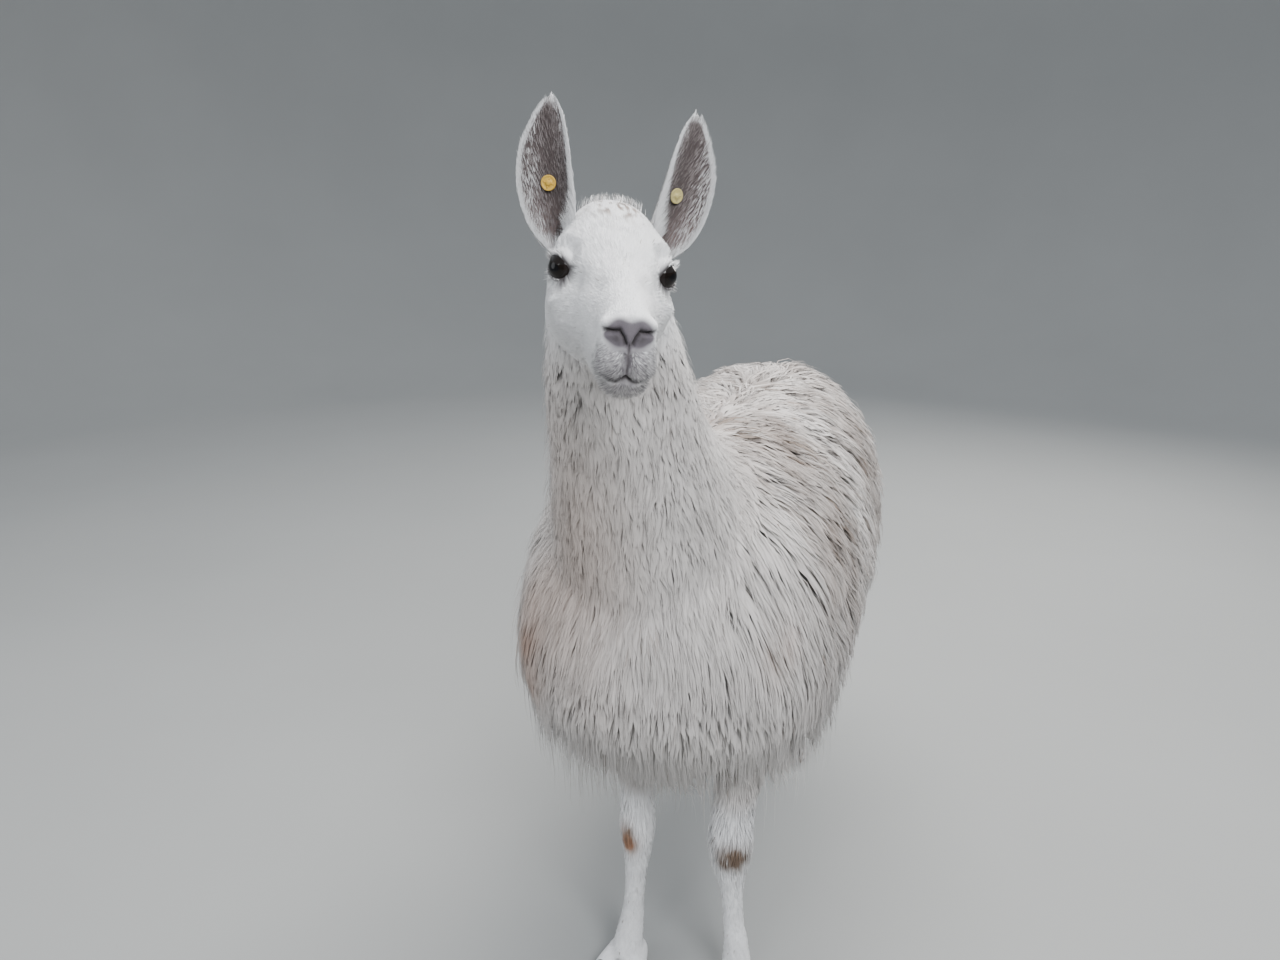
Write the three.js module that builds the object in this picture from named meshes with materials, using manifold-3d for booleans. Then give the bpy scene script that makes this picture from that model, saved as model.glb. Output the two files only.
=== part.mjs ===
// A standing llama in full fleece, life size, as a still display model.
// Millimetres, +Z up. The llama faces -Y and its left side is +X. The solids follow the outside of the
// coat: one solid for each part of the body, with the eyes, toenails and ear tags as pieces of their own.
import * as THREE from "three";
import { mergeVertices } from "three/addons/utils/BufferGeometryUtils.js";
import Module from "manifold-3d";

const wasm = await Module();
wasm.setup();

// ---------------------------------------------------------------- driving dimensions
const GAP = 0.3; // kept between pieces that touch
const FAR = 3000; // size of a cutting block, larger than the llama

const FORE_FOOT = { x: 116, y: -380 };
const HIND_FOOT = { x: 74, y: 558 };

const HEAD = { at: [4, -794, 1498], yaw: 26, pitch: 5.5, roll: -5.5 }; // middle of the eyes; degrees
const EYE = { radius: 20, side: 62, forward: 6, up: 0 };
const EYE_OPENING = { gaze: [0.68, 0.73, 0.02], off: 27, deep: 20, wide: 21, tall: 16 };
const EAR = { length: 194, thick: 7, back: 6, base: [-72, 63, 5], out: { left: 13, right: 9 } };
const TAG = { radius: 10.5, disc: 2.2, stem: 2, lift: 2.6, along: 0.46 };

// ---------------------------------------------------------------- solids and cuts
const degrees = THREE.MathUtils.degToRad;
const vec = (x, y, z) => new THREE.Vector3(x, y, z);

// A closed geometry as a solid, turned right side out if its sweep ran the other way.
function solid(geometry) {
  const bare = geometry.clone();
  bare.deleteAttribute("normal");
  bare.deleteAttribute("uv");
  const merged = mergeVertices(bare, 1e-3);
  const corners = [];
  const index = merged.index.array;
  for (let i = 0; i < index.length; i += 3) {
    const [a, b, c] = index.subarray(i, i + 3);
    if (a !== b && b !== c && c !== a) corners.push(a, b, c);
  }
  const make = (triVerts) =>
    new wasm.Manifold(
      new wasm.Mesh({ numProp: 3, vertProperties: merged.attributes.position.array, triVerts }),
    );
  const made = make(new Uint32Array(corners));
  return made.volume() > 0 ? made : make(new Uint32Array(corners.reverse()));
}

// The largest piece of a solid, without the crumbs that a cut can leave.
function mainPiece(made) {
  return made.decompose().reduce((most, piece) => (piece.volume() > most.volume() ? piece : most));
}

// A block that fills the space above the floor.
function aboveFloor() {
  return solid(new THREE.BoxGeometry(2 * FAR, 2 * FAR, FAR).translate(0, 0, FAR / 2));
}

// ---------------------------------------------------------------- sweeps
// A value of a table of stations at t, from 0 at its first row to 1 at its last, on a smooth curve.
function between(rows, key, t) {
  const last = rows.length - 1;
  const from = Math.min(Math.floor(t * last), last - 1);
  const u = t * last - from;
  const [a, b, c, d] = [-1, 0, 1, 2].map((step) => {
    const row = rows[THREE.MathUtils.clamp(from + step, 0, last)];
    return row[key] ?? 0;
  });
  const bend = (d - a + 3 * (b - c)) * u + 2 * a - 5 * b + 4 * c - d;
  return b + 0.5 * u * (c - a + u * bend);
}

// How far along a sweep a ring stands, with the rings drawn closer together towards both ends.
const RING_CROWDING = 0.7;
const ringAt = (w) => w - (RING_CROWDING * Math.sin(2 * Math.PI * w)) / (2 * Math.PI);

// Rounds off the first and last shares of a sweep like the ends of an ellipse.
function rounding(t, shares) {
  const reach = Math.min(t / shares[0], (1 - t) / shares[1], 1);
  return Math.sqrt(Math.max(0, 1 - (1 - reach) ** 2));
}

// A closed body along stations: each row is the ring's centre x, y, z and its sizes to the side, fore
// and aft. egg makes the fore half wider than the aft half, and square fills out the ring's corners.
// axes fixes the ring's side and fore directions; without it the rings stand across the centre line.
function sweep(rows, { rings, around, ends = [0.08, 0.08], axes = null, grow = 0 }) {
  const geometry = new THREE.SphereGeometry(1, around, rings);
  const { position, uv } = geometry.attributes;
  const centre = (t) => vec(between(rows, "x", t), between(rows, "y", t), between(rows, "z", t));
  for (let i = 0; i < position.count; i++) {
    const t = ringAt(THREE.MathUtils.clamp(1 - uv.getY(i), 0, 1));
    const angle = uv.getX(i) * 2 * Math.PI;
    const size = (key) => Math.max(0, between(rows, key, t)) + grow;
    const power = 2 / (2 + between(rows, "square", t));
    const full = rounding(t, ends);
    const across = Math.sign(Math.cos(angle)) * Math.abs(Math.cos(angle)) ** power;
    const deep = Math.sign(Math.sin(angle)) * Math.abs(Math.sin(angle)) ** power;
    let [side, fore] = axes ?? [];
    if (!axes) {
      const turn = degrees(between(rows, "turn", t));
      const along = centre(Math.min(1, t + 0.01)).sub(centre(Math.max(0, t - 0.01))).normalize();
      fore = vec(Math.cos(turn), Math.sin(turn), 0).cross(along).normalize();
      side = along.clone().cross(fore);
    }
    const place = centre(t)
      .addScaledVector(side, across * full * size("side") * (1 + between(rows, "egg", t) * deep))
      .addScaledVector(fore, deep * full * size(deep > 0 ? "fore" : "aft"));
    position.setXYZ(i, place.x, place.y, place.z);
  }
  return geometry;
}

// Pushes the surface by a vector, fading with distance from a point, as a modeller's thumb would.
function press(geometry, { at, reach, push }) {
  const { position } = geometry.attributes;
  const centre = vec(...at);
  for (let i = 0; i < position.count; i++) {
    const place = vec(position.getX(i), position.getY(i), position.getZ(i));
    const fade = Math.exp(-2 * (place.distanceTo(centre) / reach) ** 2);
    place.addScaledVector(vec(...push), fade);
    position.setXYZ(i, place.x, place.y, place.z);
  }
}

// ---------------------------------------------------------------- trunk, neck and tail
// Top and bottom are the heights of the coat's outline along the back and along the hem.
const TRUNK = [
  { x: -30, y: -618, top: 1100, bottom: 500, half: 282 },
  { x: -26, y: -500, top: 1168, bottom: 480, half: 304 },
  { x: -20, y: -370, top: 1202, bottom: 474, half: 312 },
  { x: -8, y: -240, top: 1206, bottom: 476, half: 312 },
  { x: -2, y: -100, top: 1198, bottom: 482, half: 310 },
  { y: 40, top: 1198, bottom: 492, half: 310 },
  { y: 180, top: 1206, bottom: 504, half: 308 },
  { y: 320, top: 1208, bottom: 510, half: 304 },
  { y: 450, top: 1188, bottom: 512, half: 294 },
  { y: 560, top: 1146, bottom: 528, half: 276 },
  { y: 646, top: 1090, bottom: 560, half: 250 },
];

const NECK = [
  { x: -24, y: -330, z: 800, side: 250, fore: 240, aft: 220 },
  { x: -30, y: -400, z: 905, side: 226, fore: 226, aft: 236 },
  { x: -40, y: -466, z: 1020, side: 182, fore: 190, aft: 212 },
  { x: -46, y: -530, z: 1130, side: 147, fore: 154, aft: 172, turn: 4 },
  { x: -48, y: -586, z: 1235, side: 128, fore: 130, aft: 142, turn: 9 },
  { x: -47, y: -636, z: 1335, side: 119, fore: 114, aft: 124, turn: 16 },
  { x: -42, y: -678, z: 1430, side: 100, fore: 94, aft: 104, turn: 22 },
  { x: -40, y: -698, z: 1505, side: 84, fore: 72, aft: 86, turn: 25 },
  { x: -38, y: -702, z: 1566, side: 64, fore: 54, aft: 62, turn: 26 },
];

const TAIL = [
  { y: 530, z: 1092, side: 52, fore: 44, aft: 44 },
  { y: 600, z: 1082, side: 62, fore: 50, aft: 48 },
  { y: 646, z: 1030, side: 70, fore: 54, aft: 50 },
  { y: 662, z: 950, side: 72, fore: 52, aft: 50 },
  { y: 658, z: 870, side: 58, fore: 42, aft: 42 },
  { y: 646, z: 812, side: 34, fore: 26, aft: 26 },
];

const UPRIGHT = [vec(1, 0, 0), vec(0, 0, 1)];

function trunkShape(grow = 0) {
  const rows = TRUNK.map(({ x = 0, y, top, bottom, half }) => ({
    x,
    y,
    z: (top + bottom) / 2,
    side: half,
    fore: (top - bottom) / 2,
    aft: (top - bottom) / 2,
    egg: -0.11,
    square: 0.3,
  }));
  return solid(sweep(rows, { rings: 22, around: 28, ends: [0.2, 0.2], axes: UPRIGHT, grow }));
}

function neckShape(grow = 0) {
  return solid(sweep(NECK, { rings: 15, around: 26, ends: [0.08, 0.1], grow }));
}

const tailShape = () => solid(sweep(TAIL, { rings: 9, around: 12, ends: [0.2, 0.3] }));

// ---------------------------------------------------------------- head
// The head is modelled in a frame of its own: x forward along the face, y to its left, z up.
const HEAD_PROFILE = [
  { x: -130, top: 62, bottom: -100, half: 66 },
  { x: -100, top: 80, bottom: -120, half: 74 },
  { x: -68, top: 87, bottom: -132, half: 79, egg: -0.02 },
  { x: -34, top: 82, bottom: -134, half: 84, egg: -0.02 },
  { x: 0, top: 67, bottom: -128, half: 85, egg: 0.03 },
  { x: 32, top: 49, bottom: -119, half: 76, egg: 0.04 },
  { x: 64, top: 33, bottom: -110, half: 60, egg: -0.02 },
  { x: 96, top: 20, bottom: -105, half: 48, egg: -0.07 },
  { x: 128, top: 9, bottom: -105, half: 40, egg: -0.1 },
  { x: 158, top: 1, bottom: -109, half: 37, egg: -0.06 },
  { x: 184, top: -6, bottom: -110, half: 35, egg: -0.02 },
  { x: 207, top: -12, bottom: -103, half: 32 },
];

// Thumb presses on the head: each is made on both sides.
const HEAD_PRESSES = [
  { at: [4, 70, 30], reach: 26, push: [2, 6, 3] }, // brow over the eye
  { at: [52, 52, -8], reach: 28, push: [0, -7, 0] }, // hollow in front of the eye
  { at: [24, 68, -36], reach: 26, push: [0, 4, 0] }, // cheekbone
  { at: [-40, 72, -80], reach: 44, push: [0, 5, -2] }, // jaw muscle
  { at: [60, 40, -84], reach: 34, push: [0, -4, 4] }, // hollow along the lower jaw
  { at: [186, 28, -24], reach: 18, push: [2, 5, 2] }, // wing of the nostril
  { at: [186, 32, -70], reach: 20, push: [0, 4, 0] }, // upper lip
  { at: [212, 12, -52], reach: 16, push: [-3, 0, 0] }, // below the nostril
  { at: [184, 8, -108], reach: 20, push: [-2, 0, -3] }, // chin
];

const headFrame = new THREE.Matrix4()
  .makeTranslation(...HEAD.at)
  .multiply(new THREE.Matrix4().makeRotationZ(degrees(HEAD.yaw - 90)))
  .multiply(new THREE.Matrix4().makeRotationY(degrees(HEAD.pitch)))
  .multiply(new THREE.Matrix4().makeRotationX(degrees(HEAD.roll)));

function headShape(grow = 0) {
  const rows = HEAD_PROFILE.map(({ x, top, bottom, half, egg }) => ({
    x,
    z: (top + bottom) / 2,
    side: half,
    fore: (top - bottom) / 2,
    aft: (top - bottom) / 2,
    egg,
    square: 0.25,
  }));
  const axes = [vec(0, 1, 0), vec(0, 0, 1)];
  const geometry = sweep(rows, { rings: 27, around: 28, ends: [0.14, 0.09], axes, grow });
  for (const { at, reach, push } of HEAD_PRESSES)
    for (const side of [1, -1]) {
      const mirrored = ([x, y, z]) => [x, side * y, z];
      press(geometry, { at: mirrored(at), reach, push: mirrored(push) });
    }
  return solid(geometry.applyMatrix4(headFrame));
}

function eyeShape(side, grow = 0) {
  const ball = new THREE.SphereGeometry(EYE.radius + grow, 12, 8);
  ball.translate(EYE.forward, side * EYE.side, EYE.up);
  return solid(ball.applyMatrix4(headFrame));
}

// The gap between the lids, as an egg-shaped cutter that lies across the gaze.
function eyeOpening(side) {
  const { gaze, off, deep, wide, tall } = EYE_OPENING;
  const towards = vec(gaze[0], side * gaze[1], gaze[2]).normalize();
  const cutter = new THREE.SphereGeometry(1, 12, 8).scale(wide, tall, deep);
  cutter.applyMatrix4(new THREE.Matrix4().lookAt(towards, vec(0, 0, 0), vec(0, 0, 1)));
  cutter.translate(EYE.forward, side * EYE.side, EYE.up);
  cutter.translate(towards.x * off, towards.y * off, towards.z * off);
  return solid(cutter.applyMatrix4(headFrame));
}

// ---------------------------------------------------------------- ears and their tags
// An ear is a curled leaf. half is its half width, curl the half angle that it curls through, and
// sway how far its middle line bows out from a straight line.
const EAR_PROFILE = [
  { half: 11, curl: 120, sway: 0 },
  { half: 24, curl: 105, sway: 1 },
  { half: 32, curl: 84, sway: 4 },
  { half: 35, curl: 70, sway: 7 },
  { half: 35, curl: 62, sway: 8 },
  { half: 33, curl: 56, sway: 7 },
  { half: 28, curl: 48, sway: 4 },
  { half: 20, curl: 40, sway: -2 },
  { half: 8, curl: 30, sway: -8 },
];

// A point of the ear's leaf in its own frame: x across, outwards, y back from its opening, z to the tip.
function leafPoint(t, share, lift) {
  const half = between(EAR_PROFILE, "half", t);
  const curl = degrees(between(EAR_PROFILE, "curl", t));
  const bow = half / Math.sin(Math.min(curl, Math.PI / 2));
  const turn = share * curl;
  const out = bow + lift;
  return vec(
    between(EAR_PROFILE, "sway", t) + out * Math.sin(turn),
    out * Math.cos(turn) - bow,
    EAR.length * t,
  );
}

// The ear's frame stands on the head, leans back and out, and its opening faces forward and outward.
function earFrame(side) {
  const face = 14; // degrees that the opening is turned outwards
  return headFrame
    .clone()
    .multiply(new THREE.Matrix4().makeTranslation(EAR.base[0], side * EAR.base[1], EAR.base[2]))
    .multiply(new THREE.Matrix4().makeRotationY(degrees(-EAR.back)))
    .multiply(new THREE.Matrix4().makeRotationX(degrees(-side * (side > 0 ? EAR.out.left : EAR.out.right))))
    .multiply(new THREE.Matrix4().makeRotationZ(degrees(90 + side * face)))
    .multiply(new THREE.Matrix4().makeScale(side, 1, 1));
}

function earShape(side) {
  const geometry = new THREE.SphereGeometry(1, 14, 14);
  const { position, uv } = geometry.attributes;
  for (let i = 0; i < position.count; i++) {
    const t = ringAt(THREE.MathUtils.clamp(1 - uv.getY(i), 0, 1));
    const angle = uv.getX(i) * 2 * Math.PI;
    const full = rounding(t, [0.06, 0.1]);
    const lift = (EAR.thick / 2) * Math.sin(angle) * full;
    const place = leafPoint(t, Math.cos(angle) * full, lift);
    position.setXYZ(i, place.x, place.y, place.z);
  }
  return solid(geometry.applyMatrix4(earFrame(side)));
}

// A button tag: a front disc with a raised hub, a stem through the ear, and a plain back disc.
function tagShape(side, grow = 0) {
  const { radius, disc, stem, lift } = TAG;
  const half = EAR.thick / 2 + lift;
  const profile = [
    [0, -half - disc],
    [radius, -half - disc],
    [radius + grow, -half - disc],
    [radius + grow, -half + grow],
    [stem + grow, -half + grow],
    [stem + grow, half - grow],
    [radius + grow, half - grow],
    [radius + grow, half + disc],
    [stem * 2, half + disc],
    [stem * 1.6, half + disc + 1.6],
    [0, half + disc + 1.6],
  ].map(([r, z]) => new THREE.Vector2(r, z));
  const lathe = new THREE.LatheGeometry(profile, 10); // about y, hub towards +y
  const share = side > 0 ? -0.22 : -0.05;
  const seat = leafPoint(TAG.along, share, 0);
  const turn = share * degrees(between(EAR_PROFILE, "curl", TAG.along));
  lathe.rotateX(Math.PI).rotateZ(-turn).translate(seat.x, seat.y, seat.z);
  return solid(lathe.applyMatrix4(earFrame(side)));
}

// ---------------------------------------------------------------- legs, toes and nails
// Heights up the leg, with the ring's centre forward (-) or back (+) of the foot, and its sizes.
const FORELEG = [
  { z: 30, out: 3, y: -12, side: 34, fore: 34, aft: 32 },
  { z: 52, out: 2, y: -10, side: 34, fore: 34, aft: 32 },
  { z: 82, out: 0, y: -4, side: 31, fore: 28, aft: 30 },
  { z: 118, out: -4, y: 2, side: 28, fore: 27, aft: 31 },
  { z: 165, out: -9, y: 0, side: 24, fore: 24, aft: 26 },
  { z: 235, out: -14, y: -2, side: 25, fore: 26, aft: 27 },
  { z: 300, out: -18, y: -4, side: 32, fore: 34, aft: 34, wool: 5 },
  { z: 352, out: -19, y: -6, side: 40, fore: 42, aft: 38, wool: 8 },
  { z: 400, out: -19, y: -4, side: 39, fore: 40, aft: 40, wool: 9 },
  { z: 460, out: -15, y: 4, side: 40, fore: 42, aft: 48, wool: 8 },
  { z: 540, out: -6, y: 14, side: 52, fore: 52, aft: 64, wool: 6 },
  { z: 640, out: 0, y: 24, side: 64, fore: 66, aft: 80 },
  { z: 700, out: 0, y: 30, side: 66, fore: 70, aft: 82 },
];

const HINDLEG = [
  { z: 30, y: -12, side: 33, fore: 34, aft: 32 },
  { z: 52, y: -10, side: 33, fore: 34, aft: 32 },
  { z: 82, y: -4, side: 29, fore: 28, aft: 30 },
  { z: 118, y: 4, side: 28, fore: 27, aft: 32 },
  { z: 170, y: 8, side: 24, fore: 25, aft: 27 },
  { z: 250, y: 14, side: 25, fore: 27, aft: 29 },
  { z: 330, out: 2, y: 22, side: 29, fore: 32, aft: 34 },
  { z: 390, out: 4, y: 28, side: 36, fore: 40, aft: 44 },
  { z: 435, out: 8, y: 22, side: 40, fore: 46, aft: 54 },
  { z: 490, out: 12, y: 2, side: 50, fore: 58, aft: 62 },
  { z: 560, out: 16, y: -30, side: 70, fore: 88, aft: 88 },
  { z: 650, out: 18, y: -60, side: 94, fore: 120, aft: 118 },
  { z: 720, out: 18, y: -74, side: 98, fore: 130, aft: 124 },
];

// One toe, from its joint to its tip, in a frame with x across, -y forward.
const TOE = [
  { y: 26, z: 42, side: 17, fore: 20, aft: 32 },
  { y: 6, z: 34, side: 20, fore: 26, aft: 43 },
  { y: -18, z: 27, side: 22, fore: 28, aft: 38 },
  { y: -42, z: 21, side: 22, fore: 24, aft: 31 },
  { y: -64, z: 17, side: 20, fore: 18, aft: 25 },
  { y: -82, z: 14, side: 15, fore: 12, aft: 19 },
];

const NAIL = [
  { y: -58, z: 33, side: 7, fore: 5, aft: 6 },
  { y: -72, z: 28, side: 9.5, fore: 6.5, aft: 8 },
  { y: -86, z: 19, side: 8, fore: 6.5, aft: 8 },
  { y: -97, z: 9, side: 3.5, fore: 4, aft: 3.5 },
];

// Each leg: where it stands, how far its foot turns out and how far its toes spread, in degrees.
const LEGS = [
  { name: "foreleg_left", rows: FORELEG, ...FORE_FOOT, side: 1, turn: 6, spread: 8, woolly: 1 },
  { name: "foreleg_right", rows: FORELEG, ...FORE_FOOT, side: -1, turn: 12, spread: 14, woolly: 0.2 },
  { name: "hindleg_left", rows: HINDLEG, ...HIND_FOOT, side: 1, turn: 6, spread: 8, woolly: 0 },
  { name: "hindleg_right", rows: HINDLEG, ...HIND_FOOT, side: -1, turn: 6, spread: 8, woolly: 0 },
];

const TOE_X = 21;
const LEVEL = [vec(1, 0, 0), vec(0, -1, 0)]; // rings of a leg are level, with fore towards -Y

function footPlace({ x, y, side, turn, spread }, toe) {
  return new THREE.Matrix4()
    .makeTranslation(side * x, y, 0)
    .multiply(new THREE.Matrix4().makeRotationZ(degrees(side * turn)))
    .multiply(new THREE.Matrix4().makeTranslation(toe * TOE_X, 0, 0))
    .multiply(new THREE.Matrix4().makeRotationZ(degrees(toe * spread)));
}

function nailShape(leg, toe, grow = 0) {
  const geometry = sweep(NAIL, { rings: 5, around: 6, ends: [0.3, 0.3], grow });
  return solid(geometry.applyMatrix4(footPlace(leg, toe)));
}

function legShape(leg) {
  const rows = leg.rows.map(({ z, out = 0, y, side, fore, aft, wool = 0 }) => ({
    x: leg.side * (leg.x + out),
    y: leg.y + y,
    z,
    side: side + leg.woolly * wool,
    fore: fore + (leg.woolly * wool) / 2,
    aft: aft + (leg.woolly * wool) / 2,
  }));
  let made = solid(sweep(rows, { rings: 14, around: 11, ends: [0.05, 0.05], axes: LEVEL }));
  for (const toe of [1, -1]) {
    const shape = sweep(TOE, { rings: 6, around: 8, ends: [0.2, 0.2], axes: UPRIGHT });
    made = made.add(solid(shape.applyMatrix4(footPlace(leg, toe))));
  }
  return made.intersect(aboveFloor()); // the soles are flat on the floor
}

// ---------------------------------------------------------------- the whole, parted
const pieces = new Map();
const grownTrunk = trunkShape(GAP);
const grownHead = headShape(GAP);
const grownNeck = neckShape(GAP);

let head = headShape();
for (const [sideName, side] of [["left", 1], ["right", -1]]) {
  const ear = earShape(side).subtract(grownHead).subtract(grownNeck);
  pieces.set(`ear_${sideName}`, mainPiece(ear.subtract(tagShape(side, GAP))));
  pieces.set(`ear_tag_${sideName}`, tagShape(side));
  pieces.set(`eye_${sideName}`, eyeShape(side));
  head = head.subtract(eyeShape(side, GAP)).subtract(eyeOpening(side));
}
pieces.set("head", mainPiece(head));
pieces.set("neck", mainPiece(neckShape().subtract(grownHead).subtract(grownTrunk)));
pieces.set("trunk", trunkShape());
pieces.set("tail", mainPiece(tailShape().subtract(grownTrunk)));

for (const leg of LEGS) {
  let limb = legShape(leg).subtract(grownTrunk);
  for (const [toeName, toe] of [["toe_left", 1], ["toe_right", -1]]) {
    limb = limb.subtract(nailShape(leg, toe, GAP));
    pieces.set(`${leg.name}_nail_${toeName}`, nailShape(leg, toe));
  }
  pieces.set(leg.name, mainPiece(limb));
}

// ---------------------------------------------------------------- meshes
const FLEECE = { color: 0xd9d3cc, roughness: 0.95, metalness: 0 };
const SHORT_HAIR = { color: 0xe3ded8, roughness: 0.9, metalness: 0 };
const EYE_DARK = { color: 0x14100e, roughness: 0.08, metalness: 0 };
const HORN = { color: 0x4a433d, roughness: 0.5, metalness: 0 };
const TAG_YELLOW = { color: 0xd9a51c, roughness: 0.45, metalness: 0 };

function finishOf(name) {
  if (name.startsWith("ear_tag")) return TAG_YELLOW;
  if (name.startsWith("eye")) return EYE_DARK;
  if (name.includes("nail")) return HORN;
  if (/^(head|ear|foreleg|hindleg)/.test(name)) return SHORT_HAIR;
  return FLEECE;
}

const llama = new THREE.Group();
for (const [name, made] of pieces) {
  const { vertProperties, triVerts } = made.getMesh();
  const geometry = new THREE.BufferGeometry()
    .setAttribute("position", new THREE.BufferAttribute(vertProperties, 3))
    .setIndex(new THREE.BufferAttribute(triVerts, 1));
  const mesh = new THREE.Mesh(geometry, new THREE.MeshStandardMaterial(finishOf(name)));
  mesh.name = name;
  llama.add(mesh);
}

// The origin is under the middle of the whole, on the floor.
const middle = new THREE.Box3().setFromObject(llama).getCenter(new THREE.Vector3());
for (const { geometry } of llama.children) geometry.translate(-middle.x, -middle.y, 0);

export default llama;
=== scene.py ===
"""A standing llama in full fleece, life size.

One skin runs over the whole body. Eyes, toenails and ear tags are pieces of their own, and the coat is made
of thin locks that root on the skin and follow the lie of the wool. Everything is modelled in millimetres in
the frame in which the body was drawn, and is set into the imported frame, in metres, as each mesh is finished.
"""

import math

import bmesh
import bpy
import numpy as np
from mathutils import Matrix, Vector
from mathutils.bvhtree import BVHTree
from mathutils.kdtree import KDTree


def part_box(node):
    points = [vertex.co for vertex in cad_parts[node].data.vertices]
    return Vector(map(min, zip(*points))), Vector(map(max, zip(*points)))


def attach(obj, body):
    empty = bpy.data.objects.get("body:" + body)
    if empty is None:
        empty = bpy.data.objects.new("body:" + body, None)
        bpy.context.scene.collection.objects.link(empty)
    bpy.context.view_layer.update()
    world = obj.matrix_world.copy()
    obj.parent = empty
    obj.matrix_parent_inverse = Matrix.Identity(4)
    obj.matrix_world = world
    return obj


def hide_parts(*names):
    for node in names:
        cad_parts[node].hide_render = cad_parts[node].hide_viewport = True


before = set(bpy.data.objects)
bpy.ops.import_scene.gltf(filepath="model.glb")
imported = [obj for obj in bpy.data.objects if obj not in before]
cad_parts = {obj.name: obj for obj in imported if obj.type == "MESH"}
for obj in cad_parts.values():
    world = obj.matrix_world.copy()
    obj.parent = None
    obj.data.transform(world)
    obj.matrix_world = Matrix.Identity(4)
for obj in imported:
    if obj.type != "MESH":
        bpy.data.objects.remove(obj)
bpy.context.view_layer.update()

MM = 0.001

# ---- driving dimensions, in mm and degrees
HEAD_AT = Vector((4, -794, 1498))  # middle of the eyes
HEAD_YAW, HEAD_PITCH, HEAD_ROLL = 26, 5.5, -5.5

EYE_RADIUS = 20
EYE_AT = (6, 62, 0)  # in the head's frame: forward, to the side, up
GAZE = (0.68, 0.73, 0.02)

EAR_LENGTH = 194
EAR_THICK = 7
EAR_ENDS = (0.06, 0.1)
EAR_BASE = (-72, 63, 5)
EAR_BACK = 6
EAR_OUT = {1: 13, -1: 9}
EAR_FACE = 14

TAG_RADIUS, TAG_DISC, TAG_STEM, TAG_LIFT = 10.5, 2.2, 2.0, 2.6
TAG_ALONG = 0.46
TAG_SHARE = {1: -0.22, -1: -0.05}

TOE_OFF = 21
LEFT, RIGHT = 1, -1
SIDE_NAME = {LEFT: "left", RIGHT: "right"}


def table(names, *rows):
    """Stations along a body: each named size as an array over the rows."""
    return dict(zip(names.split(), np.array(rows, float).T))


# coat is how deep the wool lies over the skin; under is its depth below, where that differs.
TRUNK = table(
    "x y top bottom half coat under",
    (-30, -618, 1100, 500, 282, 58, 110),
    (-26, -500, 1168, 480, 304, 56, 118),
    (-20, -370, 1202, 474, 312, 52, 118),
    (-8, -240, 1206, 476, 312, 50, 112),
    (-2, -100, 1198, 482, 310, 50, 108),
    (0, 40, 1198, 492, 310, 50, 104),
    (0, 180, 1206, 504, 308, 50, 100),
    (0, 320, 1208, 510, 304, 50, 96),
    (0, 450, 1188, 512, 294, 50, 92),
    (0, 560, 1146, 528, 276, 52, 90),
    (0, 646, 1090, 560, 250, 56, 88),
)
NECK = table(
    "x y z side fore aft turn coat",
    (-24, -330, 800, 250, 240, 220, 0, 52),
    (-30, -400, 905, 226, 226, 236, 0, 50),
    (-40, -466, 1020, 182, 190, 212, 0, 44),
    (-46, -530, 1130, 147, 154, 172, 4, 38),
    (-48, -586, 1235, 128, 130, 142, 9, 34),
    (-47, -636, 1335, 119, 114, 124, 16, 31),
    (-42, -678, 1430, 100, 94, 104, 22, 26),
    (-40, -698, 1505, 84, 72, 86, 25, 20),
    (-38, -702, 1566, 64, 54, 62, 26, 16),
)
TAIL = table(
    "x y z side fore aft coat",
    (0, 530, 1092, 52, 44, 44, 30),
    (0, 600, 1082, 62, 50, 48, 34),
    (0, 646, 1030, 70, 54, 50, 38),
    (0, 662, 950, 72, 52, 50, 38),
    (0, 658, 870, 58, 42, 42, 30),
    (0, 646, 812, 34, 26, 26, 20),
)
HEAD = table(
    "x top bottom half egg coat",
    (-130, 62, -100, 66, 0, 14),
    (-100, 80, -120, 74, 0, 11),
    (-68, 87, -132, 79, -0.02, 9),
    (-34, 82, -134, 84, -0.02, 7),
    (0, 67, -128, 85, 0.03, 5),
    (32, 49, -119, 76, 0.04, 4),
    (64, 33, -110, 60, -0.02, 4),
    (96, 20, -105, 48, -0.07, 3.5),
    (128, 9, -105, 40, -0.1, 3),
    (158, 1, -109, 37, -0.06, 2.5),
    (184, -6, -110, 35, -0.02, 2),
    (207, -12, -103, 32, 0, 1.5),
)
EAR = table(
    "half curl sway",
    (11, 120, 0),
    (24, 105, 1),
    (32, 84, 4),
    (35, 70, 7),
    (35, 62, 8),
    (33, 56, 7),
    (27, 48, 4),
    (17.5, 40, -1),
    (5, 30, -6),
)
FORELEG = table(
    "z out y side fore aft wool coat",
    (30, 3, -12, 34, 34, 32, 0, 2),
    (52, 2, -10, 34, 34, 32, 0, 3),
    (82, 0, -4, 31, 28, 30, 0, 3),
    (118, -4, 2, 28, 27, 31, 0, 4),
    (165, -9, 0, 24, 24, 26, 0, 4),
    (235, -14, -2, 25, 26, 27, 0, 5),
    (300, -18, -4, 32, 34, 34, 5, 7),
    (352, -19, -6, 40, 42, 38, 8, 9),
    (400, -19, -4, 39, 40, 40, 9, 10),
    (460, -15, 4, 40, 42, 48, 8, 11),
    (540, -6, 14, 52, 52, 64, 6, 16),
    (640, 0, 24, 64, 66, 80, 0, 22),
    (700, 0, 30, 66, 70, 82, 0, 26),
)
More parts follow.
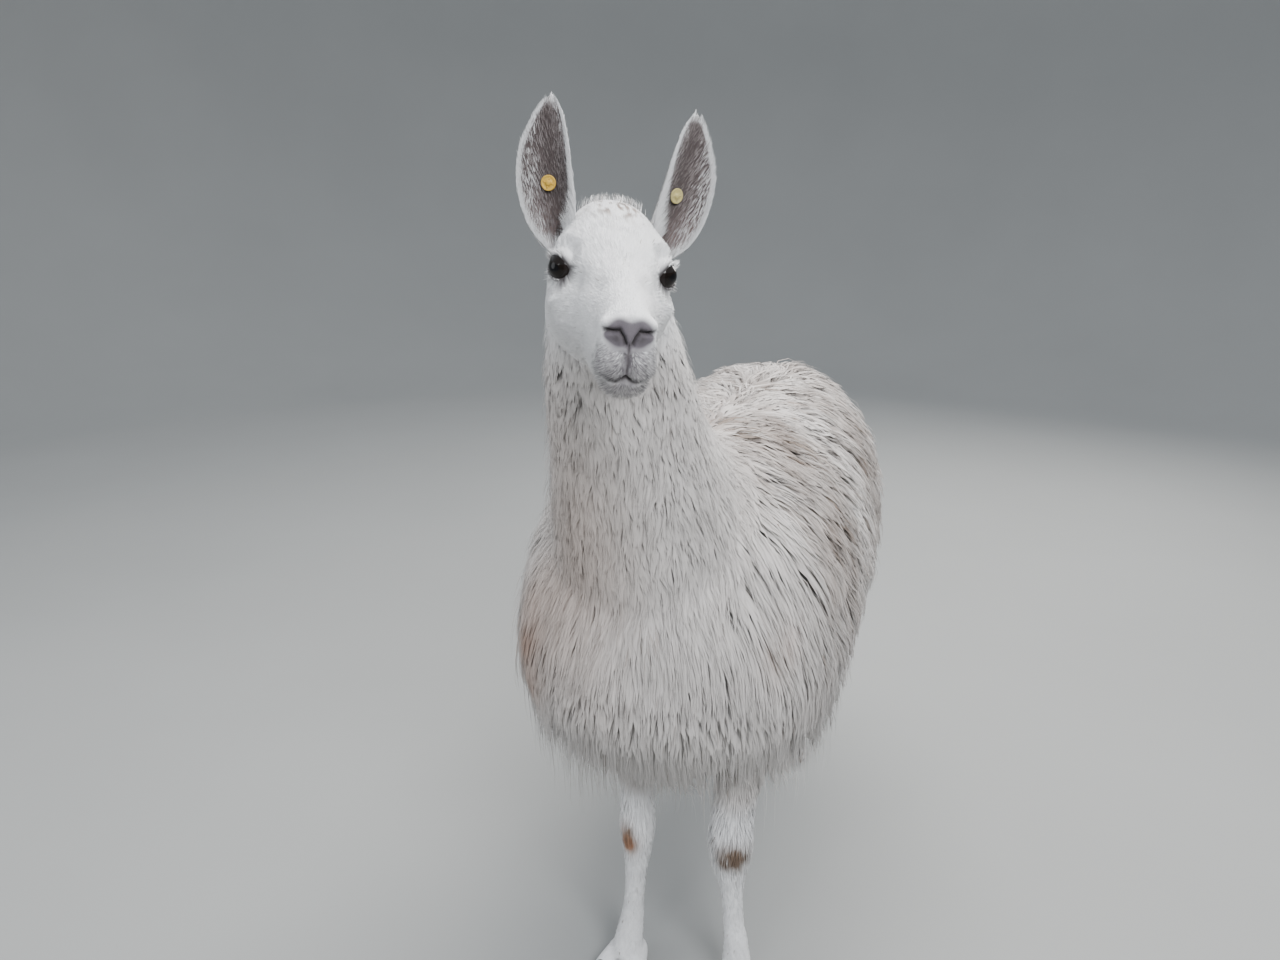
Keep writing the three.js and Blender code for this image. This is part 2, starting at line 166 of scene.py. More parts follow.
HINDLEG = table(
    "z out y side fore aft wool coat",
    (30, 0, -12, 33, 34, 32, 0, 2),
    (52, 0, -10, 33, 34, 32, 0, 3),
    (82, 0, -4, 29, 28, 30, 0, 3),
    (118, 0, 4, 28, 27, 32, 0, 4),
    (170, 0, 8, 24, 25, 27, 0, 4),
    (250, 0, 14, 25, 27, 29, 0, 5),
    (330, 2, 22, 29, 32, 34, 0, 6),
    (390, 4, 28, 36, 40, 44, 0, 9),
    (435, 8, 22, 40, 46, 54, 0, 12),
    (490, 12, 2, 50, 58, 62, 0, 17),
    (560, 16, -30, 70, 88, 88, 0, 26),
    (650, 18, -60, 94, 120, 118, 0, 38),
    (720, 18, -74, 98, 130, 124, 0, 44),
)
TOE = table(
    "y z side fore aft coat under",
    (26, 42, 17, 20, 32, 1.5, 0),
    (6, 34, 20, 26, 43, 1.5, 0),
    (-18, 27, 22, 28, 38, 1.5, 0),
    (-42, 21, 22, 24, 31, 1.5, 0),
    (-64, 17, 20, 18, 25, 1.5, 0),
    (-82, 14, 15, 12, 19, 1.5, 0),
)
NAIL = table(
    "y z side fore aft",
    (-58, 33, 7, 5, 6),
    (-72, 28, 9.5, 6.5, 8),
    (-86, 19, 8, 6.5, 8),
    (-97, 9, 3.5, 4, 3.5),
)
# name, stations, side, foot x and y, foot's turn, toes' spread, woolliness
LEGS = (
    ("foreleg_left", FORELEG, LEFT, 116, -380, 6, 8, 1),
    ("foreleg_right", FORELEG, RIGHT, 116, -380, 12, 14, 0.2),
    ("hindleg_left", HINDLEG, LEFT, 74, 558, 6, 8, 0),
    ("hindleg_right", HINDLEG, RIGHT, 74, 558, 6, 8, 0),
)


# ---- small maths
def smooth(low, high, x):
    """0 below low, 1 above high, with a soft step between."""
    share = np.clip((x - low) / (high - low), 0, 1)
    return share * share * (3 - 2 * share)


def unit(v):
    return v / np.maximum(np.linalg.norm(v, axis=-1, keepdims=True), 1e-9)


def dot(a, b):
    return np.sum(a * b, axis=-1)


def hump(x, middle, width):
    return np.exp(-(((x - middle) / width) ** 2))


def near(points, centre, radii):
    """1 at the centre of a soft spot, fading to 0 about one radius away."""
    away = (points - np.array(centre, float)) / np.array(radii, float)
    return np.exp(-2 * dot(away, away))


def wobble(points, size, seed):
    """A smooth field between about -1 and 1 that changes over about size."""
    rng = np.random.default_rng(seed)
    total = np.zeros(points.shape[:-1])
    for _ in range(9):
        wave = unit(rng.normal(size=3)) * rng.uniform(0.6, 1.5) * math.tau / size / 2
        total += np.sin(points @ wave + rng.uniform(0, math.tau))
    return total / 4.2


def between(column, t):
    """A column of stations read at t, from 0 at its first row to 1 at its last, on a smooth curve."""
    last = len(column) - 1
    start = np.minimum((t * last).astype(int), last - 1)
    u = t * last - start
    a, b, c, d = (column[np.clip(start + step, 0, last)] for step in (-1, 0, 1, 2))
    bend = (d - a + 3 * (b - c)) * u + 2 * a - 5 * b + 4 * c - d
    return b + 0.5 * u * (c - a + u * bend)


def rounding(t, ends):
    """Rounds off the first and last shares of a sweep like the ends of an ellipse."""
    reach = np.minimum(np.minimum(t / ends[0], (1 - t) / ends[1]), 1)
    return np.sqrt(np.maximum(0, 1 - (1 - reach) ** 2))


def crowd(w):
    """Draws the rings of a sweep closer together towards both ends."""
    return w - 0.7 * np.sin(math.tau * w) / math.tau


def moved(points, matrix):
    """Points taken through a 4 by 4 matrix."""
    m = np.array(matrix, float)
    return points @ m[:3, :3].T + m[:3, 3]


def turned(axis, angle):
    return Matrix.Rotation(math.radians(angle), 4, axis)


# ---- frames of the head, the ears and the feet
HEAD_FRAME = Matrix.Translation(HEAD_AT) @ turned("Z", HEAD_YAW - 90) @ turned("Y", HEAD_PITCH)
HEAD_FRAME = HEAD_FRAME @ turned("X", HEAD_ROLL)
HEAD_INVERSE = HEAD_FRAME.inverted()


def in_head(points):
    """Points in the head's frame: forward, to its left and up from the middle of the eyes."""
    return moved(points, HEAD_INVERSE)


def ear_frame(side):
    """Stands on the head, leans back and out, with the ear's opening facing forward and outward."""
    seat = Matrix.Translation((EAR_BASE[0], side * EAR_BASE[1], EAR_BASE[2]))
    lean = turned("Y", -EAR_BACK) @ turned("X", -side * EAR_OUT[side])
    return HEAD_FRAME @ seat @ lean @ turned("Z", 90 + side * EAR_FACE) @ Matrix.Diagonal((side, 1, 1, 1))


def foot_frame(side, x, y, turn, toe, spread):
    hoof = turned("Z", side * turn) @ Matrix.Translation((toe * TOE_OFF, 0, 0)) @ turned("Z", toe * spread)
    return Matrix.Translation((side * x, y, 0)) @ hoof


def place_in_frame():
    """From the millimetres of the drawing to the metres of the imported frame, found from the two eyes."""
    corners = [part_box(f"eye_{name}") for name in SIDE_NAME.values()]
    middle = sum((low + high for low, high in corners), Vector()) / 4
    drawn = HEAD_FRAME @ Vector((EYE_AT[0], 0, EYE_AT[2])) * MM
    return Matrix.Translation(middle - drawn) @ Matrix.Scale(MM, 4)


PLACE = place_in_frame()


# ---- parts of the body as sweeps
class Sweep:
    """A closed body along stations. A ring's fore half is towards axes[1], its sides along axes[0]."""

    # ends are the shares rounded off, square and egg shape the rings, and cell is its place on the unwrap.
    def __init__(self, rows, ends, axes=None, square=0.0, egg=0.0, matrix=None, cell=None):
        self.rows, self.ends, self.axes = rows, ends, axes
        self.square, self.egg, self.matrix, self.cell = square, egg, matrix, cell

    def size(self, name, t, depth):
        return np.maximum(1, self.read(name, t) - depth)

    def read(self, name, t, default=0.0):
        """A size by its name, or the default where the stations don't give it."""
        return between(self.rows[name], t) if name in self.rows else np.full(t.shape, default)

    def centre(self, t):
        return np.stack([self.read(axis, t) for axis in "xyz"], -1)

    def points(self, t, turn, coat=1.0):
        """Points at shares t along the body and turn round it, on the skin or, with coat 0, on the wool."""
        t = np.clip(t, 0, 1)
        angle = turn * math.tau
        power = 2 / (2 + self.square)
        across = np.sign(np.cos(angle)) * np.abs(np.cos(angle)) ** power
        deep = np.sign(np.sin(angle)) * np.abs(np.sin(angle)) ** power
        coat_depth = self.read("coat", t) * coat
        under = self.read("under", t) * coat if "under" in self.rows else coat_depth
        full = rounding(t, self.ends)
        side, fore = self.directions(t)
        egg = self.read("egg", t, self.egg)
        wide = across * full * self.size("side", t, coat_depth) * (1 + egg * deep)
        fore_size, aft_size = self.size("fore", t, coat_depth), self.size("aft", t, under)
        tall = deep * full * np.where(deep > 0, fore_size, aft_size)
        made = self.centre(t) + side * wide[..., None] + fore * tall[..., None]
        return moved(made, self.matrix) if self.matrix else made

    def directions(self, t):
        if self.axes:
            return np.array(self.axes[0], float), np.array(self.axes[1], float)
        along = unit(self.centre(np.minimum(1, t + 0.01)) - self.centre(np.maximum(0, t - 0.01)))
        turn = np.radians(self.read("turn", t))
        fore = unit(np.cross(np.stack([np.cos(turn), np.sin(turn), 0 * turn], -1), along))
        return np.cross(along, fore), fore


def with_height(rows):
    """Stations given by top and bottom, as a centre height and sizes above and below it."""
    half = (rows["top"] - rows["bottom"]) / 2
    side = rows["half"]
    return {**rows, "z": (rows["top"] + rows["bottom"]) / 2, "fore": half, "aft": half, "side": side}


def leg_rows(rows, side, x, y, woolly):
    wool = woolly * rows["wool"]
    return {
        **rows,
        "x": side * (x + rows["out"]),
        "y": y + rows["y"],
        "side": rows["side"] + wool,
        "fore": rows["fore"] + wool / 2,
        "aft": rows["aft"] + wool / 2,
    }


UPRIGHT = ((1, 0, 0), (0, 0, 1))
LEVEL = ((1, 0, 0), (0, -1, 0))
ALONG_HEAD = ((0, 1, 0), (0, 0, 1))

trunk = Sweep(with_height(TRUNK), (0.2, 0.2), UPRIGHT, square=0.3, egg=-0.11, cell=(0.0, 0.45, 0.62, 0.55))
neck = Sweep(NECK, (0.08, 0.1), cell=(0.63, 0.45, 0.37, 0.55))
tail = Sweep(TAIL, (0.2, 0.3), cell=(0.0, 0.33, 0.1, 0.11))
head = Sweep(with_height(HEAD), (0.14, 0.09), ALONG_HEAD, square=0.25, matrix=HEAD_FRAME)
head.cell = (0.63, 0, 0.37, 0.44)
legs = {}
for index, (name, rows, side, x, y, turn, spread, woolly) in enumerate(LEGS):
    cell = (0.11 + 0.13 * index, 0.0, 0.12, 0.44)
    legs[name] = Sweep(leg_rows(rows, side, x, y, woolly), (0.05, 0.05), LEVEL, cell=cell)


class Ear:
    """A curled leaf, open to the front. turn 0 to 0.5 is its back, and 0.5 to 1 the inside of its opening."""

    def __init__(self, side):
        self.matrix = ear_frame(side)
        self.inverse = self.matrix.inverted()
        self.axes = np.array(self.matrix, float)[:3, :3]
        self.cell = (0.0 if side > 0 else 0.055, 0.0, 0.05, 0.32)

    def local(self, points):
        """Points in the ear's own frame, which stands on its base."""
        return moved(points, self.inverse)

    def section(self, t):
        """How far the leaf curls at a share of its length, how far it sways aside, and its radius."""
        half, curl, sway = (between(EAR[name], t) for name in ("half", "curl", "sway"))
        curl = np.radians(curl)
        return curl, sway, half / np.sin(np.minimum(curl, math.pi / 2))

    def leaf(self, t, share, lift):
        """Places on the leaf, from -1 to 1 across it and by their height over its middle layer."""
        curl, sway, bow = self.section(t)
        out = bow + lift
        turn = share * curl
        return np.stack([sway + out * np.sin(turn), out * np.cos(turn) - bow, EAR_LENGTH * t], -1)

    def points(self, t, turn, coat=1.0):
        t = np.clip(t, 0, 1)
        full = rounding(t, EAR_ENDS)
        thick = EAR_THICK / 2 * (1 - 0.5 * coat)
        lift = thick * np.sin(turn * math.tau) * full
        share = np.cos(turn * math.tau) * full * (1 - 0.03 * coat)
        return moved(self.leaf(t, share, lift), self.matrix)


ears = {side: Ear(side) for side in (LEFT, RIGHT)}


# ---- meshes
def steady(bm):
    """The same mesh with its faces built anew in a fixed order, so that every run gives the same numbers."""
    bm.verts.index_update()
    rings = []
    for face in bm.faces:
        ring = [v.index for v in face.verts]
        first = ring.index(min(ring))
        rings.append(ring[first:] + ring[:first])
    made = bmesh.new()
    verts = [made.verts.new(v.co) for v in bm.verts]
    for ring in sorted(rings):
        made.faces.new([verts[k] for k in ring])
    bm.free()
    made.verts.index_update()
    made.verts.ensure_lookup_table()
    made.normal_update()
    return made


def globe_of(part, rings, around):
    """A sweep as a closed mesh: a globe whose rings are laid along the body."""
    bm = bmesh.new()
    bmesh.ops.create_uvsphere(bm, u_segments=around, v_segments=rings, radius=1)
    globe = np.array([v.co for v in bm.verts])
    along = crowd(np.arccos(np.clip(globe[:, 2], -1, 1)) / math.pi)
    turn = np.arctan2(globe[:, 1], globe[:, 0]) / math.tau % 1
    for vert, place in zip(bm.verts, part.points(along, turn)):
        vert.co = place
    bmesh.ops.recalc_face_normals(bm, faces=bm.faces)
    if bm.calc_volume(signed=True) < 0:
        bmesh.ops.reverse_faces(bm, faces=bm.faces)
    return steady(bm)


def object_from(bm, name):
    bm = steady(bm)
    mesh = bpy.data.meshes.new(name)
    bm.to_mesh(mesh)
    bm.free()
    made = bpy.data.objects.new(name, mesh)
    bpy.context.scene.collection.objects.link(made)
    return made


def joined(*parts):
    """Several bmeshes as one."""
    whole = bmesh.new()
    for bm in parts:
        scrap = bpy.data.meshes.new("scrap")
        bm.to_mesh(scrap)
        bm.free()
        whole.from_mesh(scrap)
        bpy.data.meshes.remove(scrap)
    return whole


def settle_modifiers(made):
    """Puts what the modifiers make into the mesh itself."""
    graph = bpy.context.evaluated_depsgraph_get()
    mesh = bpy.data.meshes.new_from_object(made.evaluated_get(graph))
    made.modifiers.clear()
    spare, made.data = made.data, mesh
    bpy.data.meshes.remove(spare)


def fused(bm, name, voxel, rounds):
    """Overlapping bodies as one even surface, softened where they meet."""
    made = object_from(bm, name)
    remesh = made.modifiers.new("one surface", "REMESH")
    remesh.mode = "VOXEL"
    remesh.voxel_size = voxel
    soften = made.modifiers.new("soften", "SMOOTH")
    soften.factor = 0.5
    soften.iterations = rounds
    settle_modifiers(made)
    return made


def cut_at_floor(made):
    """Flat soles, closed, on the floor."""
    bm = bmesh.new()
    bm.from_mesh(made.data)
    everything = bm.verts[:] + bm.edges[:] + bm.faces[:]
    bmesh.ops.bisect_plane(bm, geom=everything, plane_co=(0, 0, 0.2), plane_no=(0, 0, 1), clear_inner=True)
    rim = [edge for edge in bm.edges if edge.is_boundary]
    bmesh.ops.triangulate(bm, faces=bmesh.ops.holes_fill(bm, edges=rim)["faces"])
    bm.to_mesh(made.data)
    bm.free()


def finish_mesh(made, material, slot, *nodes):
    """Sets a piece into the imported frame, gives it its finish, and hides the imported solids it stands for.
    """
    made.data.transform(PLACE)
    made.data.shade_smooth()
    made.data.materials.clear()
    made.data.materials.append(material)
    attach(made, "root")
    if nodes:
        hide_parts(*nodes)


# ---- the head's modelling, in the head's frame
# at, reach, push: each press is made on both sides of the face.
HEAD_PRESSES = (
    ((4, 70, 30), 26, (2, 6, 3)),  # brow over the eye
    ((54, 52, -10), 28, (0, -10, -1)),  # hollow in front of the eye
    ((22, 72, -38), 24, (0, 6, 1)),  # cheekbone
    ((-40, 72, -80), 44, (0, 5, -2)),  # jaw muscle
    ((66, 42, -84), 36, (0, -3, 0)),  # side of the lower jaw
    ((118, 28, -106), 34, (0, 5, -12)),  # lower jaw behind the chin
    ((50, 36, -112), 40, (0, 4, -7)),  # edge of the jaw
    ((186, 28, -24), 18, (2, 5, 2)),  # wing of the nostril
    ((188, 32, -70), 22, (0, 1, 0)),  # upper lip
    ((212, 12, -52), 16, (-3, 0, 0)),  # below the nostril
    ((184, 8, -108), 20, (-2, 0, -3)),  # chin
    ((200, 10, -18), 12, (2.5, 0, 2.5)),  # lobe of the nose
    ((196, 26, -26), 11, (2.5, 2, 2)),  # rim over the nostril
    ((202, 18, -44), 11, (-4, 0, 0)),  # floor under the nostril
    ((200, 14, -68), 15, (3.5, 1, 0)),  # pad of the upper lip
    ((150, 36, -50), 22, (0, -4, 0)),  # hollow behind the lips
    ((176, 38, -66), 9, (0, 1.5, 0)),  # corner of the upper lip
    ((188, 10, -99), 13, (2, 0, -1)),  # lower lip
    ((70, 26, 30), 28, (0, 3, -3)),  # flat top of the nose bridge
    ((100, 36, 2), 26, (0, -5, -2)),  # sides of the nose bridge
    ((166, 40, -78), 12, (0, 3, 2)),  # fold at the corner of the mouth
)
NOSE_CLEFT = ((204, 0, -14), 6, (-3, 0, -3))  # dip between the lobes of the nose

# Folds: points along each, half its width and its depth. All but the middle ones are on both sides.
NOSTRIL = (((194, 30, -33), (203, 21, -32.5), (206, 13.5, -30), (207, 8.5, -37), (207, 5, -45)), 2.9, 8)
PHILTRUM = (((207, 0, -46), (206, 0, -60), (205, 0, -82)), 2.0, 3.6)
MOUTH = (
    ((204, 0, -85), (200, 9, -88), (197, 16, -87.5), (186, 28, -81), (176, 36, -75), (160, 40, -71)), 2.3, 6
)
LIP_FOLD = (((186, 33, -54), (184, 34, -61), (182, 34, -68)), 1.8, 2.6)
TEAR_GROOVE = (((24, 72, -3), (34, 66, -6), (44, 61, -8)), 2.2, 1.2)
MOUTH_GAP = (((204, 0, -83), (202, 5, -86.5), (199, 11, -88.5)), 3.2, 7)
FOLDS = (NOSTRIL, PHILTRUM, MOUTH, MOUTH_GAP, LIP_FOLD, TEAR_GROOVE)

LID_HALF, LID_UPPER, LID_LOWER, LID_TILT, LID_BOW = 19.6, 15.5, 14, -0.12, 0.6
EYE_REACH = 45  # how far round an eye the lids shape the skin
FAR = 99.0


def mirrored(at, side):
    return np.array((at[0], side * at[1], at[2]), float)


def sides_of(at):
    """Both sides of the face, or one where the place is on its middle line."""
    return (LEFT, RIGHT) if at[1] else (LEFT,)


def pressed(points, at, reach, push):
    """Pushes the surface by a vector, fading with distance, as a modeller's thumb would."""
    for side in sides_of(at):
        points = points + near(points, mirrored(at, side), reach)[:, None] * mirrored(push, side)
    return points


class Gaze:
    """Directions at one eye: out along the gaze, towards the nose, and up."""

    def __init__(self, side):
        self.side = side
        self.centre = mirrored(EYE_AT, side)
        self.out = unit(mirrored(GAZE, side))
        self.nose = unit(np.array((1, 0, 0)) - self.out * self.out[0])
        self.up = unit(np.array((0, 0, 1)) - self.out * self.out[2] - self.nose * self.nose[2])

    def on_lids(self, points):
        """Places across and up the lids, and how far outside the opening between them each is, in mm."""
        seen = unit(points - self.centre) * (EYE_RADIUS + 1.5)
        across, up = dot(seen, self.nose), dot(seen, self.up)
        rim = lid_outline()
        gap = np.full(len(points), FAR)
        for start, end in zip(rim, np.roll(rim, -1, axis=0)):
            run = end - start
            share = ((across - start[0]) * run[0] + (up - start[1]) * run[1]) / (run @ run)
            share = np.clip(share, 0, 1)
            away = np.hypot(across - start[0] - share * run[0], up - start[1] - share * run[1])
            gap = np.minimum(gap, away)
        row = LID_TILT * across
        room = np.maximum(0, 1 - (across / LID_HALF) ** 2) ** LID_BOW
        inside = (np.abs(across) < LID_HALF) & (up < row + LID_UPPER * room) & (up > row - LID_LOWER * room)
        gap = np.where(inside, -gap, gap)
        facing = (dot(seen, self.out) > 0) & (np.linalg.norm(points - self.centre, axis=1) < EYE_REACH)
        return across, up, np.where(facing, gap, FAR)

    def rim_point(self, share, lower, lift=1.2):
        """A point of a lid's edge, from -1 at the outer corner to 1 at the inner one."""
        across = LID_HALF * share
        tall = -LID_LOWER if lower else LID_UPPER
        up = LID_TILT * across + tall * (1 - share**2) ** LID_BOW
        radius = EYE_RADIUS + lift
        out = math.sqrt(max(0, radius**2 - across**2 - up**2))
        return self.centre + self.nose * across + self.up * up + self.out * out


def lid_outline(steps=36):
    """The opening between the lids, as points across and up."""
    swing = np.linspace(0, math.pi, steps, endpoint=False)
    share = -np.cos(swing)
    bow = (1 - share**2) ** LID_BOW
    upper = np.stack([LID_HALF * share, LID_TILT * LID_HALF * share + LID_UPPER * bow], -1)
    lower = np.stack([-LID_HALF * share, -LID_TILT * LID_HALF * share - LID_LOWER * bow], -1)
    return np.concatenate([upper, lower])


GAZES = {side: Gaze(side) for side in (LEFT, RIGHT)}


def with_lids(points):
    """Wraps the skin round each eyeball as lids, and sinks it behind the ball between them."""
    for gaze in GAZES.values():
        arm = points - gaze.centre
        radius = np.linalg.norm(arm, axis=1)
        across, up, gap = gaze.on_lids(points)
        above = smooth(-4, 6, up)
        lid = EYE_RADIUS + 0.5 + 2.0 * smooth(0, 1.5, gap)
        lid = lid + above * (0.9 * hump(gap, 4, 2.4) - 1.6 * hump(gap, 8, 1.5))
        lid = lid - (1 - above) * 0.7 * hump(gap, 6.5, 1.6)
        hidden = EYE_RADIUS + 0.5 - np.minimum(7, -3 * gap)
        keep = 1 - smooth(4, 17, gap)
        wanted = np.where(gap < 0, hidden, lid * keep + radius * (1 - keep))
        close = gap < 17
        points = np.where(close[:, None], gaze.centre + unit(arm) * wanted[:, None], points)
    return points


def fold_line(fold, side, surface, step=1.2):
    """A fold's points, closely spaced and laid on the surface."""
    corners = [mirrored(at, side) for at in fold[0]]
    line = []
    for start, end in zip(corners, corners[1:]):
        count = max(1, round(np.linalg.norm(end - start) / step))
        line += [start + (end - start) * k / count for k in range(count)]
    line.append(corners[-1])
    return np.array([surface.find_nearest(p)[0] for p in line])


def distance_to(line, points, reach=12):
    """How far points are from a line's points, or FAR beyond a box about it."""
    away = np.full(len(points), FAR)
    low, high = line.min(0) - reach, line.max(0) + reach
    close = np.all((points > low) & (points < high), axis=1)
    gaps = points[close][:, None, :] - line[None, :, :]
    away[close] = np.sqrt(np.min(np.sum(gaps * gaps, axis=-1), axis=1))
    return away


def co_of(bm):
    return np.array([v.co for v in bm.verts])


def set_co(bm, points):
    for vert, place in zip(bm.verts, points):
        vert.co = place
    bm.normal_update()


def refine(bm, close):
    """Splits the faces where every corner is marked close, so that fine forms can be modelled there."""
    edges = [edge for edge in bm.edges if close[edge.verts[0].index] and close[edge.verts[1].index]]
    bmesh.ops.subdivide_edges(bm, edges=edges, cuts=1, use_grid_fill=True)
    return steady(bm)


def head_mesh():
    """The skin of the head with its brow, cheeks, lids, nostrils, lips and chin."""
    local = Sweep(head.rows, head.ends, head.axes, head.square)
    bm = globe_of(local, rings=150, around=160)
    points = co_of(bm)
    for at, reach, push in (*HEAD_PRESSES, NOSE_CLEFT):
        points = pressed(points, at, reach, push)
    set_co(bm, points)
    for _ in range(2):
        points = co_of(bm)
        close = np.zeros(len(points), bool)
        for gaze in GAZES.values():
            close |= gaze.on_lids(points)[2] < 12
        bm = refine(bm, close)
    surface = BVHTree.FromBMesh(bm)
    lines = [(fold_line(fold, side, surface), fold) for fold in FOLDS for side in sides_of(fold[0][-1])]
    points = co_of(bm)
    close = np.zeros(len(points), bool)
    for line, _ in lines:
        close |= distance_to(line, points) < 6
    bm = refine(bm, close)
    points = co_of(bm)
    normals = np.array([v.normal for v in bm.verts])
    sink = np.zeros(len(points))
    walls = []
    for line, (_, half_width, depth) in lines:
        sink = np.maximum(sink, depth * np.exp(-((distance_to(line, points) / half_width) ** 2)))
        inward = np.array([normals[np.argmin(np.sum((points - at) ** 2, axis=1))] for at in line])
        wall = np.concatenate([line - inward * depth * share for share in (0, 0.3, 0.6, 0.9)])
        walls.append((wall, half_width, depth))
    set_co(bm, with_lids(points - normals * sink[:, None]))
    soft = [v for v in bm.verts if min((Vector(g.centre) - v.co).length for g in GAZES.values()) < 34]
    for _ in range(2):
        bmesh.ops.smooth_vert(bm, verts=soft, factor=0.35, use_axis_x=True, use_axis_y=True, use_axis_z=True)
    bmesh.ops.recalc_face_normals(bm, faces=bm.faces)
    bm.transform(HEAD_FRAME)
    return bm, walls


# ---- the skin
def leg_mesh(spec):
    """A leg with its two toes as one surface, flat on the floor."""
    name, rows, side, x, y, turn, spread, woolly = spec
    parts = [globe_of(legs[name], rings=90, around=40)]
    for toe in (LEFT, RIGHT):
        shape = Sweep(TOE, (0.2, 0.2), UPRIGHT, matrix=foot_frame(side, x, y, turn, toe, spread))
        parts.append(globe_of(shape, rings=24, around=24))
    made = fused(joined(*parts), name + "_skin", voxel=4.8, rounds=4)
    cut_at_floor(made)
    return made


def united_skin():
    """Every fleshy part of the body as one closed mesh, still in millimetres."""
    body = joined(globe_of(trunk, 60, 72), globe_of(neck, 50, 60), globe_of(tail, 24, 24))
    whole = fused(body, "skin", voxel=13, rounds=6)
    head_bm, walls = head_mesh()
    others = [object_from(head_bm, "head_skin")]
    others += [object_from(globe_of(ear, 48, 32), "ear_skin") for ear in ears.values()]
    others += [leg_mesh(spec) for spec in LEGS]
    for other in others:
        union = whole.modifiers.new("with " + other.name, "BOOLEAN")
        union.operation = "UNION"
        union.solver = "MANIFOLD"
        union.object = other
    settle_modifiers(whole)
    for other in others:
        spare = other.data
        bpy.data.objects.remove(other)
        bpy.data.meshes.remove(spare)
    return whole, walls


skin, fold_walls = united_skin()


def mesh_points(mesh):
    co = np.empty(len(mesh.vertices) * 3, np.float32)
    mesh.vertices.foreach_get("co", co)
    return co.reshape(-1, 3).astype(float)


def skin_tree():
    bm = bmesh.new()
    bm.from_mesh(skin.data)
    tree = BVHTree.FromBMesh(bm)
    bm.free()
    return tree


SKIN = skin_tree()


def nearest(points):
    """The nearest places on the skin, which way it faces there, and how far off they are."""
    found = [SKIN.find_nearest(p) for p in points.tolist()]
    return tuple(np.array([hit[k] for hit in found]) for k in (0, 1, 3))


# ---- colours, as linear red, green and blue
# CREAM is the body's dirty cream, kept darker than the face's white partly as painted shade over the body
CREAM = np.array((0.67, 0.63, 0.605))
FACE_WHITE = np.array((0.88, 0.875, 0.88))
BEIGE = np.array((0.54, 0.41, 0.34))
GREY_BROWN = np.array((0.27, 0.215, 0.185))
RUST = np.array((0.40, 0.19, 0.10))
KNEE_BROWN = np.array((0.17, 0.115, 0.08))
NOSE_GREY = np.array((0.105, 0.092, 0.108))
LIP_GREY = np.array((0.17, 0.152, 0.168))
# RIM_DARK is the dark skin of the lid rims and the colour of the dark lashes; it is also laid as painted shade
# in the lid crease and the inner eye corner
RIM_DARK = np.array((0.022, 0.018, 0.018))
# painted shade, laid in the folds of the face and under the nostrils
PAINTED_FOLD_SHADE = np.array((0.018, 0.014, 0.015))
EAR_INSIDE = np.array((0.085, 0.066, 0.064))
EAR_GREY = np.array((0.33, 0.29, 0.285))
EAR_PINK = np.array((0.42, 0.30, 0.28))
SOLE_DARK = np.array((0.10, 0.085, 0.075))


# Marks: a colour, how uneven it is (least, more, size, seed), and its spots by place, reach and strength.
MARKS = (
    (RUST, (0.7, 0.5, 50, 6), (
        ((184, -505, 856), (40, 60, 66), 1.2),
        ((-246, -570, 800), (60, 110, 130), 0.85),
        ((0, 640, 760), (120, 60, 120), 0.35),
        ((-108, -415, 338), (25, 50, 42), 1.3),
    )),
    (KNEE_BROWN, (0.85, 0.4, 14, 7), (
        ((-108, -415, 350), (20, 50, 32), 1.2),
        ((110, -420, 344), (44, 60, 38), 1.9),
        ((88, -402, 524), (28, 50, 28), 0.9),
        ((-94, -418, 470), (22, 40, 30), 0.25),
    )),
)


def blend(colour, other, share):
    return colour + (other - colour) * np.clip(share, 0, 1)[..., None]


def coat_colour(points):
    """The llama's own colours where skin or wool is, by place on the body, with the body's cream darkened
    partly as painted shade.
    """
    x, y, z = points[..., 0], points[..., 1], points[..., 2]
    colour = np.broadcast_to(CREAM, points.shape).copy()
    head_share = smooth(1330, 1450, z)
    colour = blend(colour, FACE_WHITE, head_share + smooth(480, 420, z))
    throat = smooth(1400, 1250, z) * smooth(640, 900, z) * smooth(-420, -560, y)
    colour = blend(colour, BEIGE, throat * (0.30 + 0.30 * wobble(points, 190, 5)) * smooth(60, -120, x))
    behind = smooth(-560, -330, y) * smooth(560, 700, z) * (1 - head_share)
    dusty = behind * (0.36 + 0.34 * wobble(points, 210, 3) + 0.30 * wobble(points, 60, 4))
    colour = blend(colour, GREY_BROWN, dusty)
    for mark, (least, more, size, seed), spots in MARKS:
        uneven = least + more * wobble(points, size, seed)
        for at, reach, strength in spots:
            colour = blend(colour, mark, strength * near(points, at, reach) * uneven)
    local = in_head(points)
    flecked = near(local, (-44, 2, 84), (42, 46, 30)) + near(points, (9, -768, 1573), (50, 44, 30))
    speckle = flecked * smooth(0.0, 0.5, wobble(points, 6, 8))
    mottled = 1 + 0.07 * wobble(points, 60, 9) * (1 - smooth(1400, 1480, z))
    return blend(colour, GREY_BROWN, 0.95 * speckle) * mottled[..., None]


HOCK_GLANDS = ((104, 572, 236), (40, 572, 236), (-104, 572, 236), (-40, 572, 236))


def near_both(local, at, radii):
    """Soft spots on both sides of the face."""
    return sum(near(local, mirrored(at, side), radii) for side in (LEFT, RIGHT))


def nose_share(local):
    """Bare nose leather, on the lobes and round the nostrils."""
    lobes = near_both(local, (204, 13.5, -26), (18, 18, 14))
    wings = near_both(local, (200, 21, -36), (17, 14, 9))
    septum = near(local, (207, 0, -39), (12, 10, 16))
    under = near_both(local, (203, 14, -43), (16, 16, 12))
    return np.clip(1.7 * (lobes + septum + wings + 0.8 * under) - 0.1, 0, 1)


def lip_share(local):
    """Thinly haired grey skin on both lips."""
    upper = near(local, (200, 0, -66), (32, 42, 28))
    lower = near(local, (196, 0, -96), (26, 30, 14))
    return np.clip(1.25 * upper + 0.7 * lower, 0, 1)


